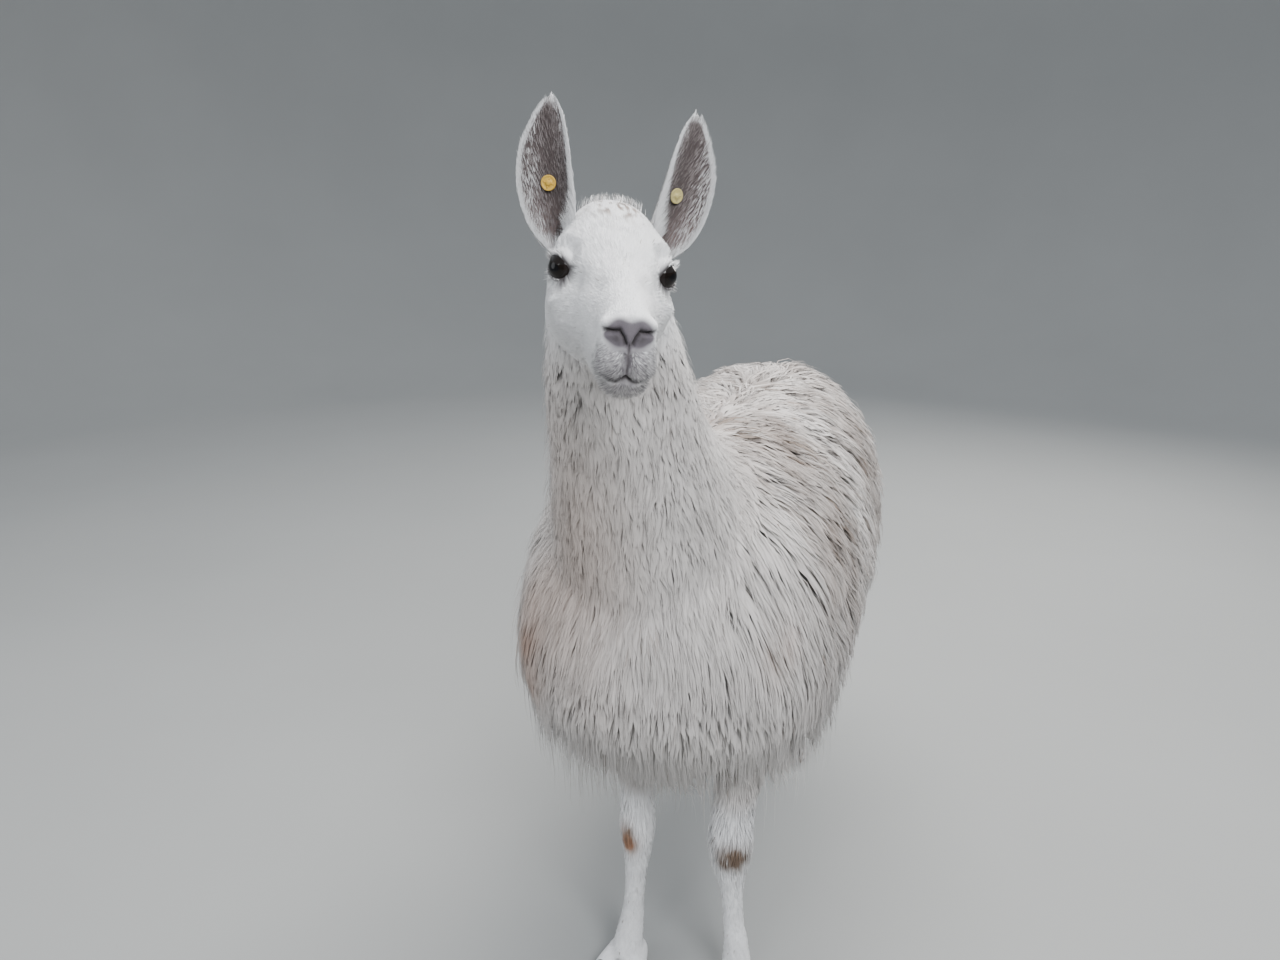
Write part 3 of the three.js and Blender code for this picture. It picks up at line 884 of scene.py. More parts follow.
def ear_inside(points):
    """How far inside an ear's opening a point lies, 1 on its inner face."""
    share = np.zeros(len(points))
    for ear in ears.values():
        local = ear.local(points)
        t = np.clip(local[:, 2] / EAR_LENGTH, 0, 1)
        curl, sway, bow = ear.section(t)
        out = np.hypot(local[:, 0] - sway, local[:, 1] + bow)
        turn = np.abs(np.arctan2(local[:, 0] - sway, local[:, 1] + bow)) / curl
        on_ear = (np.abs(out - bow) < 5) & (local[:, 2] > -4) & (local[:, 2] < EAR_LENGTH + 4)
        inner = smooth(0.6, -0.6, out - bow) * smooth(1.02, 0.86, turn) * smooth(0.0, 0.1, t)
        share = np.maximum(share, inner * on_ear * smooth(1.0, 0.93, t))
    return share


def face_masks(points):
    """Nose leather, lips, dark lid rims, and painted shade in the lid creases, eye corners and folds, at
    points of the skin.
    """
    local = in_head(points)
    rim = np.zeros(len(points))
    for gaze in GAZES.values():
        across, up, gap = gaze.on_lids(local)
        # painted shade: the inner corner of each eye and the crease over the upper lid are darkened, next to
        # the rims' own dark skin
        corner = np.exp(-(((across - LID_HALF - 5) / 9) ** 2) - ((up + 3) / 4.5) ** 2)
        painted_crease_shade = 0.6 * hump(gap, 8, 1.3) * smooth(2, 8, up)
        rim = np.maximum(rim, hump(np.maximum(gap, 0), 0, 3.4) * (gap < 12))
        rim = np.maximum(rim, np.maximum(0.85 * corner * (gap < 20), painted_crease_shade))
    # dark is painted shade: each fold is darkened more the deeper it is, and there is a dark patch under each
    # nostril
    dark = np.zeros(len(points))
    for wall, half_width, depth in fold_walls:
        shade = min(1, depth / 5) * hump(distance_to(wall, local), 0, 0.8 * half_width)
        dark = np.maximum(dark, shade)
    dark = np.maximum(dark, 0.55 * near_both(local, (203, 13, -39), (14, 10, 9)))
    return nose_share(local), lip_share(local), rim, dark, local


def lie_place(points, local):
    """Coordinates that run slowly along the lie of the hair, for its fine streaks."""
    on_head = smooth(1380, 1440, points[:, 2]) * (points[:, 1] < -560)
    along_head = local * np.array((0.16, 1, 1))
    down = points * np.array((1, 1, 0.16))
    place = down + (along_head - down) * on_head[:, None]
    for ear in ears.values():
        in_ear = ear.local(points)
        on_ear = (in_ear[:, 2] > 8) & np.all(np.abs(in_ear[:, :2]) < 45, axis=1)
        place = np.where(on_ear[:, None], in_ear * np.array((1, 1, 0.14)), place)
    return place


def add_attribute(mesh, name, kind, values):
    attribute = mesh.attributes.new(name, kind, "POINT")
    field = "color" if kind == "FLOAT_COLOR" else "vector"
    attribute.data.foreach_set(field, np.ascontiguousarray(values, np.float32).ravel())


def with_alpha(colour):
    return np.concatenate([colour, np.ones((*colour.shape[:-1], 1))], -1)


def paint_skin():
    """Colour, bareness and the lie of the hair, kept on the skin's own points."""
    points = mesh_points(skin.data)
    nose, lips, rim, dark, local = face_masks(points)
    inside = ear_inside(points)
    colour = coat_colour(points)
    speckle = 0.5 + 0.5 * wobble(points, 5, 11)
    colour = blend(colour, LIP_GREY, lips * (0.75 + 0.4 * speckle))
    colour = blend(colour, NOSE_GREY, nose)
    deep_ear = blend(np.broadcast_to(EAR_INSIDE, colour.shape), EAR_PINK, 0.35 * smooth(90, 20, local[:, 2]))
    colour = colour + (deep_ear - colour) * inside[:, None]
    glands = sum(near(points, at, (20, 16, 26)) for at in HOCK_GLANDS)
    colour = blend(colour, NOSE_GREY, 0.55 * glands * (points[:, 2] < 300))
    sole = smooth(14, 4, points[:, 2])
    colour = blend(colour, SOLE_DARK, sole)
    # the rims' own dark skin, with painted shade in the lid crease and the inner eye corner
    colour = blend(colour, RIM_DARK, rim)
    # painted shade in the folds and under the nostrils
    colour = blend(colour, PAINTED_FOLD_SHADE, dark)
    bare = np.clip(nose + 0.35 * lips + rim + dark + sole, 0, 1)
    wet = np.clip(0.5 * nose + rim, 0, 1)
    add_attribute(skin.data, "Colour", "FLOAT_COLOR", with_alpha(colour))
    add_attribute(skin.data, "Surface", "FLOAT_COLOR", np.stack([bare, wet, inside, 1 + 0 * bare], -1))
    add_attribute(skin.data, "Lie", "FLOAT_VECTOR", lie_place(points, local))


paint_skin()


# ---- materials
class Nodes:
    """A material's or a group's node tree, with short ways to add and join nodes."""

    def __init__(self, tree):
        self.tree = tree
        tree.nodes.clear()

    def put(self, socket, value):
        """Joins a socket to another one, or sets it to a constant."""
        if isinstance(value, bpy.types.NodeSocket):
            self.tree.links.new(value, socket)
        else:
            socket.default_value = value

    def feed(self, node, **inputs):
        """Fills a node's inputs by name, with _ for a space."""
        for name, value in inputs.items():
            self.put(node.inputs[name.replace("_", " ")], value)
        return node

    def add(self, kind, settings=None, **inputs):
        node = self.tree.nodes.new("ShaderNode" + kind)
        for name, value in (settings or {}).items():
            setattr(node, name, value)
        return self.feed(node, **inputs)

    def maths(self, operation, a, b=0.0, c=0.0):
        node = self.add("Math", {"operation": operation})
        for socket, value in zip(node.inputs, (a, b, c)):
            self.put(socket, value)
        return node.outputs[0]

    def times(self, a, b):
        return self.maths("MULTIPLY", a, b)

    def plus(self, a, b):
        return self.maths("ADD", a, b)

    def painted(self, name, output="Color"):
        """An attribute kept on the mesh."""
        return self.add("Attribute", {"attribute_name": name}).outputs[output]

    def place(self):
        return self.add("TexCoord").outputs["Object"]

    def noise(self, vector, scale, detail=3.0):
        return self.add("TexNoise", Vector=vector, Scale=scale, Detail=detail, Roughness=0.55).outputs["Fac"]

    def stretch(self, vector, scale):
        return self.add("Mapping", Vector=vector, Scale=scale).outputs["Vector"]

    def mix(self, a, b, share, blend="MIX"):
        node = self.add("Mix", {"data_type": "RGBA", "blend_type": blend})
        sockets = {socket.identifier: socket for socket in node.inputs}
        for name, value in (("Factor_Float", share), ("A_Color", a), ("B_Color", b)):
            self.put(sockets[name], value)
        return next(s for s in node.outputs if s.identifier == "Result_Color")

    def bump(self, height, strength, distance, **under):
        node = self.add("Bump", Height=height, Strength=strength, Distance=distance, **under)
        return node.outputs["Normal"]


def new_material(name):
    """A material, its nodes, and a way to fill the inputs of its shader."""
    made = bpy.data.materials.new(name)
    made.use_nodes = True
    nodes = Nodes(made.node_tree)
    shader = nodes.add("BsdfPrincipled")
    nodes.add("OutputMaterial", Surface=shader.outputs[0])
    return made, nodes, lambda **inputs: nodes.feed(shader, **inputs)


def hair_streaks():
    """A group of fine lines along the hair: a mask of lighter and darker hairs, and their relief."""
    tree = bpy.data.node_groups.new("hair streaks", "ShaderNodeTree")
    tree.interface.new_socket("Place", in_out="INPUT", socket_type="NodeSocketVector")
    for label, value in (("Hairs", 1.0), ("Contrast", 0.3)):
        socket = tree.interface.new_socket(label, in_out="INPUT", socket_type="NodeSocketFloat")
        socket.default_value = value
    for label in ("Tone", "Relief"):
        tree.interface.new_socket(label, in_out="OUTPUT", socket_type="NodeSocketFloat")
    nodes = Nodes(tree)
    given = tree.nodes.new("NodeGroupInput").outputs
    end = tree.nodes.new("NodeGroupOutput")
    fine = nodes.noise(given["Place"], given["Hairs"], 2.0)
    broad = nodes.noise(given["Place"], nodes.times(given["Hairs"], 0.22), 2.0)
    both = nodes.plus(nodes.times(fine, 0.65), nodes.times(broad, 0.35))
    centred = nodes.maths("SUBTRACT", both, 0.5)
    tone = nodes.maths("MULTIPLY_ADD", centred, nodes.times(given["Contrast"], 2.0), 1.0)
    nodes.feed(end, Tone=tone, Relief=both)
    return tree


HAIR_STREAKS = hair_streaks()


def streaked(nodes, colour, place, hairs, contrast):
    """A colour with the hairs' own light and dark lines in it, and their relief."""
    group = nodes.add("Group", {"node_tree": HAIR_STREAKS}, Place=place, Hairs=hairs, Contrast=contrast)
    tone, relief = group.outputs["Tone"], group.outputs["Relief"]
    grey = nodes.add("CombineColor", Red=tone, Green=tone, Blue=tone).outputs[0]
    return nodes.mix(colour, grey, 1.0, "MULTIPLY"), relief


def skin_material():
    """Short flat hair over skin, and bare wet leather on the nose, lids and folds."""
    made, nodes, shade = new_material("short hair and bare nose")
    colour = nodes.painted("Colour")
    masks = nodes.add("SeparateColor", Color=nodes.painted("Surface"))
    bare, wet = masks.outputs["Red"], masks.outputs["Green"]
    haired, relief = streaked(nodes, colour, nodes.painted("Lie", "Vector"), 0.9, 0.32)
    place = nodes.place()
    pebbles = nodes.add("TexVoronoi", Vector=place, Scale=900.0).outputs["Distance"]
    blotches = nodes.noise(place, 160.0)
    leather = nodes.mix(colour, (0.30, 0.26, 0.27, 1), nodes.times(blotches, 0.22))
    rough = nodes.maths("SUBTRACT", 0.78, nodes.times(wet, 0.38))
    furred = nodes.bump(nodes.times(relief, nodes.maths("SUBTRACT", 1.0, bare)), 0.8, 0.0022)
    shade(
        Base_Color=nodes.mix(haired, leather, bare),
        Roughness=nodes.plus(rough, nodes.times(blotches, 0.12)),
        Normal=nodes.bump(nodes.times(pebbles, bare), 0.35, 0.0006, Normal=furred),
        Specular_IOR_Level=0.35,
        Sheen_Weight=0.15,
    )
    return made


def hair_material(name, contrast, rough, sheen):
    """Wool or hair locks: their own colours with fine lines from root to tip."""
    made, nodes, shade = new_material(name)
    strand = nodes.add("UVMap", {"uv_map": "Strand"}).outputs["UV"]
    lines = nodes.stretch(strand, (9.0, 1.0, 1.0))
    tone, relief = streaked(nodes, nodes.painted("Colour"), lines, 1.0, contrast)
    shade(
        Base_Color=tone,
        Roughness=nodes.plus(nodes.times(relief, 0.25), rough),
        Normal=nodes.bump(relief, 0.5, 0.0008),
        Specular_IOR_Level=0.35,
        Sheen_Weight=sheen,
    )
    return made


def eye_material():
    """A wet dark eye: nearly black, with a faint brown iris and a wide level pupil."""
    made, nodes, shade = new_material("wet eye")
    split = nodes.add("SeparateColor", Color=nodes.painted("Eye"))
    iris, pupil, spoke = (split.outputs[name] for name in ("Red", "Green", "Blue"))
    fibres = nodes.add("CombineXYZ", X=nodes.times(spoke, 40.0), Y=nodes.times(iris, 3.0))
    lines = nodes.noise(fibres.outputs[0], 1.0, 4.0)
    brown = nodes.mix((0.003, 0.002, 0.002, 1), (0.012, 0.008, 0.006, 1), lines)
    white = nodes.mix((0.016, 0.012, 0.011, 1), brown, iris)
    shade(
        Base_Color=nodes.mix(white, (0.003, 0.003, 0.004, 1), pupil),
        Roughness=nodes.plus(nodes.times(lines, 0.02), 0.04),
        Specular_IOR_Level=0.4,
        IOR=1.36,
    )
    return made


def nail_material():
    """Horn with growth rings and worn, dusty tips."""
    made, nodes, shade = new_material("toenail horn")
    place = nodes.place()
    rings = nodes.noise(nodes.stretch(place, (60.0, 420.0, 420.0)), 1.0)
    dust = nodes.noise(place, 70.0)
    horn = nodes.mix((0.085, 0.068, 0.056, 1), (0.20, 0.165, 0.135, 1), rings)
    shade(
        Base_Color=nodes.mix(horn, (0.27, 0.23, 0.18, 1), nodes.times(dust, 0.5)),
        Roughness=nodes.plus(nodes.times(dust, 0.3), 0.38),
        Normal=nodes.bump(rings, 0.5, 0.0008),
    )
    return made


def tag_material(name, colour, faded):
    """Moulded plastic, scuffed and a little faded."""
    made, nodes, shade = new_material(name)
    place = nodes.place()
    scuffs = nodes.noise(nodes.stretch(place, (300.0, 2400.0, 900.0)), 1.0)
    dirt = nodes.times(nodes.maths("GREATER_THAN", scuffs, 0.62), 0.35)
    base = nodes.mix(colour, faded, nodes.noise(place, 120.0))
    shade(
        Base_Color=nodes.mix(base, (0.16, 0.12, 0.07, 1), dirt),
        Roughness=nodes.plus(nodes.times(scuffs, 0.3), 0.28),
        Normal=nodes.bump(nodes.noise(place, 1900.0), 0.15, 0.0002),
    )
    return made


SKIN_FINISH = skin_material()
finish_mesh(skin, SKIN_FINISH, "short_hair", "trunk", "neck", "head", "tail", "ear_left", "ear_right", *legs)


# ---- eyes
CORNEA, IRIS = math.radians(40), math.radians(44)  # half the angle each takes up on the ball
CORNEA_RISE = 0.05
PUPIL = (9.0, 5.2)  # half its width and height, in mm


def eye_piece(side):
    """An eyeball with its cornea, and masks for its iris, pupil and fibres."""
    gaze = GAZES[side]
    towards = Matrix((gaze.nose, gaze.up, gaze.out)).transposed().to_4x4()
    bm = bmesh.new()
    bmesh.ops.create_uvsphere(bm, u_segments=64, v_segments=48, radius=EYE_RADIUS)
    masks = []
    for vert in bm.verts:
        across, up = vert.co.x, vert.co.y
        off = vert.co.angle(Vector((0, 0, 1)))
        if off < CORNEA:
            vert.co *= 1 + CORNEA_RISE * (1 - (off / CORNEA) ** 2) ** 1.3
        iris = 1 - float(smooth(IRIS * 0.92, IRIS, off))
        pupil = 1 - float(smooth(0.82, 1.05, math.hypot(across / PUPIL[0], up / PUPIL[1])))
        masks.append((iris, pupil * (off < 1.2), math.atan2(up, across) / math.tau + 0.5, 1))
    bm.transform(HEAD_FRAME @ Matrix.Translation(gaze.centre) @ towards)
    bmesh.ops.recalc_face_normals(bm, faces=bm.faces)
    made = object_from(bm, f"eyeball_{SIDE_NAME[side]}")
    add_attribute(made.data, "Eye", "FLOAT_COLOR", np.array(masks))
    return made


EYE_FINISH = eye_material()
for side, name in SIDE_NAME.items():
    finish_mesh(eye_piece(side), EYE_FINISH, "eye", f"eye_{name}")


# ---- toenails
NAIL_FINISH = nail_material()
for leg_name, _, side, x, y, turn, spread, _ in LEGS:
    for toe, toe_name in SIDE_NAME.items():
        shape = Sweep(NAIL, (0.3, 0.3), matrix=foot_frame(side, x, y, turn, toe, spread))
        nail = object_from(globe_of(shape, 28, 20), f"{leg_name}_toenail_{toe_name}")
        finish_mesh(nail, NAIL_FINISH, "nail", f"{leg_name}_nail_toe_{toe_name}")


# ---- ear tags
def lathe(outline, steps, merge):
    """A body turned about the upright axis, from the radii and heights of its outline."""
    bm = bmesh.new()
    corners = [bm.verts.new((radius, 0, height)) for radius, height in outline]
    edges = [bm.edges.new(pair) for pair in zip(corners, corners[1:])]
    bmesh.ops.spin(
        bm, geom=corners + edges, cent=(0, 0, 0), axis=(0, 0, 1), angle=math.tau, steps=steps, use_merge=True
    )
    bmesh.ops.remove_doubles(bm, verts=bm.verts, dist=merge)
    return bm


def tag_piece(side):
    """A button tag: a dished front disc with a ribbed hub, its stem through the ear, and a back disc."""
    half = EAR_THICK / 2 + TAG_LIFT
    front, back = half + TAG_DISC, -half - TAG_DISC
    radius = TAG_RADIUS - 0.5
    outline = (
        (0.01, front + 1.4), (2.6, front + 1.4), (3.4, front + 0.7), (3.8, front - 0.5), (7.6, front - 0.6),
        (8.2, front - 0.1), (radius - 0.6, front), (radius, front - 0.5), (radius, half + 0.4),
        (radius - 0.6, half), (TAG_STEM + 1.2, half), (TAG_STEM, half - 0.8), (TAG_STEM, -half + 0.8),
        (TAG_STEM + 1.2, -half), (radius - 0.6, -half), (radius, -half - 0.4), (radius, back + 0.5),
        (radius - 0.6, back), (4.0, back), (3.2, back - 0.6), (0.01, back - 0.8),
    )
    bm = lathe(outline, 48, 0.02)
    for step in range(4):
        rib = bmesh.ops.create_cube(bm, size=1)["verts"]
        bmesh.ops.scale(bm, verts=rib, vec=(4.2, 1.1, 1.0))
        bmesh.ops.translate(bm, verts=rib, vec=(5.4, 0, front - 0.35))
        bmesh.ops.rotate(bm, verts=rib, cent=(0, 0, 0), matrix=turned("Z", 90 * step + 20).to_3x3())
    ear = ears[side]
    share = TAG_SHARE[side]
    seat = ear.leaf(np.array([TAG_ALONG]), np.array([share]), 0)[0]
    swing = share * float(between(EAR["curl"], np.array([TAG_ALONG]))[0])
    bm.transform(ear.matrix @ Matrix.Translation(seat) @ turned("Z", -swing) @ turned("X", 90))
    bmesh.ops.recalc_face_normals(bm, faces=bm.faces)
    return object_from(bm, f"button_tag_{SIDE_NAME[side]}")


TAG_FINISHES = {
    LEFT: tag_material("faded yellow plastic", (0.62, 0.50, 0.16, 1), (0.50, 0.45, 0.24, 1)),
    RIGHT: tag_material("yellow plastic", (0.72, 0.40, 0.03, 1), (0.62, 0.42, 0.08, 1)),
}
for side, name in SIDE_NAME.items():
    finish_mesh(tag_piece(side), TAG_FINISHES[side], "ear_tag", f"ear_tag_{name}")


# ---- locks of hair
class LockShape:
    """One closed, three-sided lock with rings at heights 0, 1, 2 ... and a tip, as arrays to repeat."""

    def __init__(self, rings):
        bm = bmesh.new()
        bmesh.ops.create_cone(bm, cap_ends=True, segments=3, radius1=1, radius2=0, depth=rings)
        bmesh.ops.translate(bm, verts=bm.verts, vec=(0, 0, rings / 2))
        for height in range(1, rings):
            everything = bm.verts[:] + bm.edges[:] + bm.faces[:]
            bmesh.ops.bisect_plane(bm, geom=everything, plane_co=(0, 0, height), plane_no=(0, 0, 1))
        bm.verts.index_update()
        co = np.array([v.co for v in bm.verts])
        self.rings = rings
        self.level = np.rint(co[:, 2]).astype(int)
        angle = np.arctan2(co[:, 1], co[:, 0])
        self.across, self.deep = np.cos(angle), np.sin(angle)
        corner = np.rint((angle - angle[0]) / math.tau * 3).astype(int) % 3
        self.faces = [[v.index for v in face.verts] for face in bm.faces]
        self.flat_uv = np.array([uv for face in self.faces for uv in self.unrolled(face, corner)])
        bm.free()

    def unrolled(self, face, corner):
        """Places of a face's corners on the lock's sides laid flat, across and from root to tip."""
        body = [v for v in face if self.level[v] < self.rings]
        found = sorted({corner[v] for v in body})
        start = 2 if found == [0, 2] else found[0]
        places = []
        for v in face:
            step = (corner[v] - start) % 3 if self.level[v] < self.rings else 0.5
            places.append(((start + step) / 3, self.level[v] / self.rings))
        return places


LOCK_SHAPES = {rings: LockShape(rings) for rings in (2, 3, 4, 5)}
# How wide a lock is at each ring below its tip, by its number of rings.
PROFILES = {2: (0.9, 1.0), 3: (0.9, 1.0, 0.65), 4: (1.0, 1.2, 0.9, 0.5), 5: (1.0, 1.25, 1.05, 0.75, 0.4)}
PATCH = 0.003  # size of one lock's place on the unwrap
ROOT_TURN, TIP_TURN = 1.6, 0.8  # how far locks turn about their length at the root, and again towards the tip
GOLDEN = 0.618034  # the turn from each root to the next round a body
LENGTHS = (0.72, 1.22)  # shortest and longest locks, over the length given for their place
WISP_LENGTHS, WISP_HEIGHT, WISP_WIDTH = (1, 1.6), 1.3, 0.5  # of the loose locks, over those of the others
# Kinds of hair: finish, slot and a lock's thickness over its width.
FLEECE = (hair_material("long fleece", 0.30, 0.50, 0.25), "fleece", 0.42)
SHORT = (hair_material("short white hair", 0.22, 0.55, 0.15), "short_hair", 0.4)


def lock_axes(path, normal, seed, thin):
    """Two directions across each lock at every ring, turned a little about its length."""
    run = np.empty_like(path)
    run[:, 1:-1] = path[:, 2:] - path[:, :-2]
    run[:, 0], run[:, -1] = path[:, 1] - path[:, 0], path[:, -1] - path[:, -2]
    run = unit(run)
    side = unit(np.cross(normal, run))
    lift = np.cross(run, side)
    along = np.linspace(0, TIP_TURN, path.shape[1])
    twist = (seed[:, 0] - 0.5)[:, None] * ROOT_TURN + along * (seed[:, 1] - 0.5)[:, None]
    twist = twist / (thin**2)[:, None].clip(1)
    cos, sin = np.cos(twist)[..., None], np.sin(twist)[..., None]
    return side * cos + lift * sin, lift * cos - side * sin


def coat_piece(name, kind, grown, colours, half_width, keep=slice(None), flatness=None, crisp=0.45):
    """Joins the kept locks into one closed mesh, with their colours, streaks' map and places on the unwrap.

    crisp is how much of each lock's own roundness shows in its shading, over that of the body beneath.
    """
    finish, slot, usual = kind
    path, normal, root_uv, seed, thin = (grown[key][keep] for key in ("path", "normal", "uv", "seed", "thin"))
    rings = path.shape[1] - 1
    shape = LOCK_SHAPES[rings]
    count, corners, level = len(path), len(shape.level), shape.level
    side, lift = (axis[:, level] for axis in lock_axes(path, normal, seed, thin))
    width = half_width * (thin * (0.7 + 0.6 * seed[:, 2]))[:, None] * np.append(PROFILES[rings], 0)[None, :]
    wide = (width[:, level] * shape.across)[..., None]
    tall = (width[:, level] * (flatness or usual) * shape.deep)[..., None]
    points = path[:, level] + side * wide + lift * tall
    lengths = np.array([len(face) for face in shape.faces])
    loops = np.array([v for face in shape.faces for v in face])
    every = np.arange(count)[:, None]
    mesh = bpy.data.meshes.new(name)
    mesh.vertices.add(count * corners)
    mesh.vertices.foreach_set("co", points.astype(np.float32).ravel())
    mesh.loops.add(count * len(loops))
    mesh.loops.foreach_set("vertex_index", (loops + every * corners).astype(np.int32).ravel())
    mesh.polygons.add(count * len(lengths))
    starts = np.append(0, np.cumsum(lengths)[:-1]) + every * len(loops)
    mesh.polygons.foreach_set("loop_start", starts.astype(np.int32).ravel())
    mesh.update(calc_edges=True)
    flat = np.broadcast_to(shape.flat_uv, (count, len(loops), 2))
    strand = flat + np.stack([seed[:, 3] * 37, seed[:, 4] * 11], -1)[:, None, :]
    patch = root_uv[:, None, :] + (flat - 0.5) * PATCH
    for uv_name, values in (("OFBake", patch), ("Strand", strand)):
        layer = mesh.uv_layers.new(name=uv_name)
        layer.data.foreach_set("uv", values.astype(np.float32).ravel())
    add_attribute(mesh, "Colour", "FLOAT_COLOR", with_alpha(colours[keep][:, level]))
    own = side * shape.across[:, None] + lift * shape.deep[:, None]
    soft = unit(own * crisp + normal[:, level])
    mesh.normals_split_custom_set_from_vertices(soft.reshape(-1, 3).tolist())
    made = bpy.data.objects.new(name, mesh)
    bpy.context.scene.collection.objects.link(made)
    finish_mesh(made, finish, slot)


def scattered(part, count, chance, rng, reach, tries):
    """Roots spread evenly over a part where it is the skin: places, normals, and places on the unwrap."""
    many = count * tries
    t = (np.arange(many) + rng.random(many)) / many
    turn = (np.arange(many) * GOLDEN + 0.2 * rng.random(many)) % 1
    here = part.points(t, turn)
    step = 1e-3
    along = part.points(t + step, turn) - here
    around = part.points(t, turn + step) - here
    area = np.linalg.norm(np.cross(along, around), axis=1)
    place, normal, off = nearest(here)
    weight = area * given(chance, place, normal) * (off < reach)
    picked = rng.choice(many, min(count, int(np.sum(weight > 0))), replace=False, p=weight / weight.sum())
    u, v, wide, tall = part.cell
    uv = np.stack([u + turn[picked] * wide, v + t[picked] * tall], -1)
    return place[picked], normal[picked], uv


def hair_set(path, normal, uv, rng, thin=None):
    """Locks by their paths, with random numbers of their own; thin scales each one's width."""
    thin = np.ones(len(path)) if thin is None else thin
    seed = rng.random((len(path), 6))
    return {"path": path, "normal": normal, "uv": uv, "seed": seed, "thin": thin, "rng": rng}


def given(value, *where):
    """A number for every place, given as one number or as a function of the places."""
    return value(*where) if callable(value) else np.full(len(where[0]), float(value))


def grow(rng, counts, part, rings, chance, length, height, lie, cling=0.35, rise=3.0, bury=2.0, reach=9.0,
         stray=0.06, fill=0.0, ragged=0.4, tries=3, broad=3.0):
    """Leads a lock from each root along the lie of the coat, rising to its height over the skin.
    """
    root, normal, uv = scattered(part, counts[1], chance, rng, reach, tries)
    many = len(root)
    kind = rng.random(many)
    wisp, under = kind < given(stray, root), kind > 1 - given(fill, root)
    reach_out = given(length, root, normal) * rng.uniform(*LENGTHS, many)
    reach_out = reach_out * np.where(wisp, rng.uniform(*WISP_LENGTHS, many), 1)
    low = given(ragged, root)
    share = np.where(under, 0.97 - low * rng.uniform(0.5, 0.9, many), 1.04 - low * rng.random(many))
    top = given(height, root, normal) * share * np.where(wisp, WISP_HEIGHT, 1)
    path = np.empty((many, rings + 1, 3))
    facing = np.empty_like(path)
    path[:, 0], facing[:, 0] = root - normal * bury, normal
    here, up = root, normal
    for k in range(1, rings + 1):
        wanted = top * (1 - np.exp(-rise * k / rings)) / (1 - math.exp(-rise))
        way = lie(here, up)
        inward = np.minimum(dot(way, up), 0)[:, None]
        there = here + unit(way - up * inward) * (reach_out / rings)[:, None]
        close, up, _ = nearest(there)
        gap = dot(there - close, up)
        pull = np.where(gap < wanted, 1.0, given(cling, root) * smooth(-0.35, 0.1, up[:, 2]))
        here = there + up * ((wanted - gap) * pull)[:, None]
        path[:, k], facing[:, k] = here, up
    thin = np.where(wisp, WISP_WIDTH, np.where(under, given(broad, root), 1.0))
    return hair_set(path, facing, uv, rng, thin)


def clumped(grown, spacing, pull):
    """Draws neighbouring locks together towards their tips."""
    path, rng = grown["path"], grown["rng"]
    root = path[:, 0]
    leaders = rng.choice(len(root), max(1, int(len(root) / spacing)), replace=False)
    tree = KDTree(len(leaders))
    for index, leader in enumerate(leaders):
        tree.insert(root[leader], index)
    tree.balance()
    leader = leaders[[tree.find(place)[1] for place in root.tolist()]]
    share = np.linspace(0, 1, path.shape[1])[None, :, None] ** 1.2
    strength = (given(pull, root) * rng.uniform(0.55, 1.15, len(root)))[:, None, None]
    grown["path"] = path + (path[leader] - path) * share * np.minimum(strength, 0.95)
    grown["leader"] = leader


def waved(grown, size, length):
    """Bends each lock in waves, partly in step with its clump."""
    path, normal, rng = grown["path"], grown["normal"], grown["rng"]
    run = unit(path[:, -1] - path[:, 0])[:, None, :]
    side = unit(np.cross(np.broadcast_to(run, path.shape), normal))
    steps = np.linalg.norm(np.diff(path, axis=1), axis=-1)
    gone = np.concatenate([np.zeros((len(path), 1)), np.cumsum(steps, axis=1)], axis=1)
    own = rng.random(len(path)) * math.tau
    together = 0.6
    phase = own * (1 - together) + own[grown["leader"]] * together if "leader" in grown else own
    turn = gone / length * math.tau + phase[:, None]
    fade = np.minimum(1, gone / 25) * given(size, path[:, 0])[:, None]
    lift = 0.35 * np.cos(turn * 0.8 + 1)
    grown["path"] = path + (side * np.sin(turn)[..., None] + normal * lift[..., None]) * fade[..., None]


def tinted(grown, dull=0.0, shade=0.3, spread=0.12):
    """Colours along each lock: the coat's own, differing by lock and by clump, its grey-brown locks greyest at
    the root, and darker at the root as painted shade.
    """
    path, rng = grown["path"], grown["rng"]
    root, many = path[:, 0], len(path)
    own = rng.random((3, many))
    if "leader" in grown:
        own = np.where(rng.random(many) < 0.55, own[:, grown["leader"]], own)
    share = np.linspace(0, 1, path.shape[1])
    dulled = given(dull, root)
    pick = (own[0] < dulled) * (0.3 + 0.6 * own[1])
    colour = blend(coat_colour(path), GREY_BROWN, pick[:, None] * (1 - 0.4 * share))
    colour = blend(colour, KNEE_BROWN, (0.75 * (own[1] > 1 - 0.10 * dulled))[:, None] * np.ones(len(share)))
    tone = 1 + given(spread, root) * (own[2] - 0.55)
    # painted shade: each lock is darkened towards its root by the share shade
    depth = 1 - given(shade, root)[:, None] * (1 - smooth(0.0, 0.6, share))
    return colour * tone[:, None, None] * depth[..., None]


def coat(*body, clump=None, wave=None, tint=(), **ways):
    """Grows a part's locks, draws them into clumps and waves, and gives them their colours."""
    grown = grow(*body, **ways)
    if clump:
        clumped(grown, *clump)
    if wave:
        waved(grown, *wave)
    return grown, tinted(grown, *tint)


def stepped(read, base, steps):
    """base, and for each step a change that comes softly between two values of what is read at the places."""

    def value(points, *_):
        return sum((change * smooth(low, high, read(points)) for change, low, high in steps), base)

    return value


def by_height(base, *steps):
    return stepped(lambda points: points[:, 2], base, steps)


def along_head(base, *steps):
    return stepped(lambda points: in_head(points)[:, 0], base, steps)


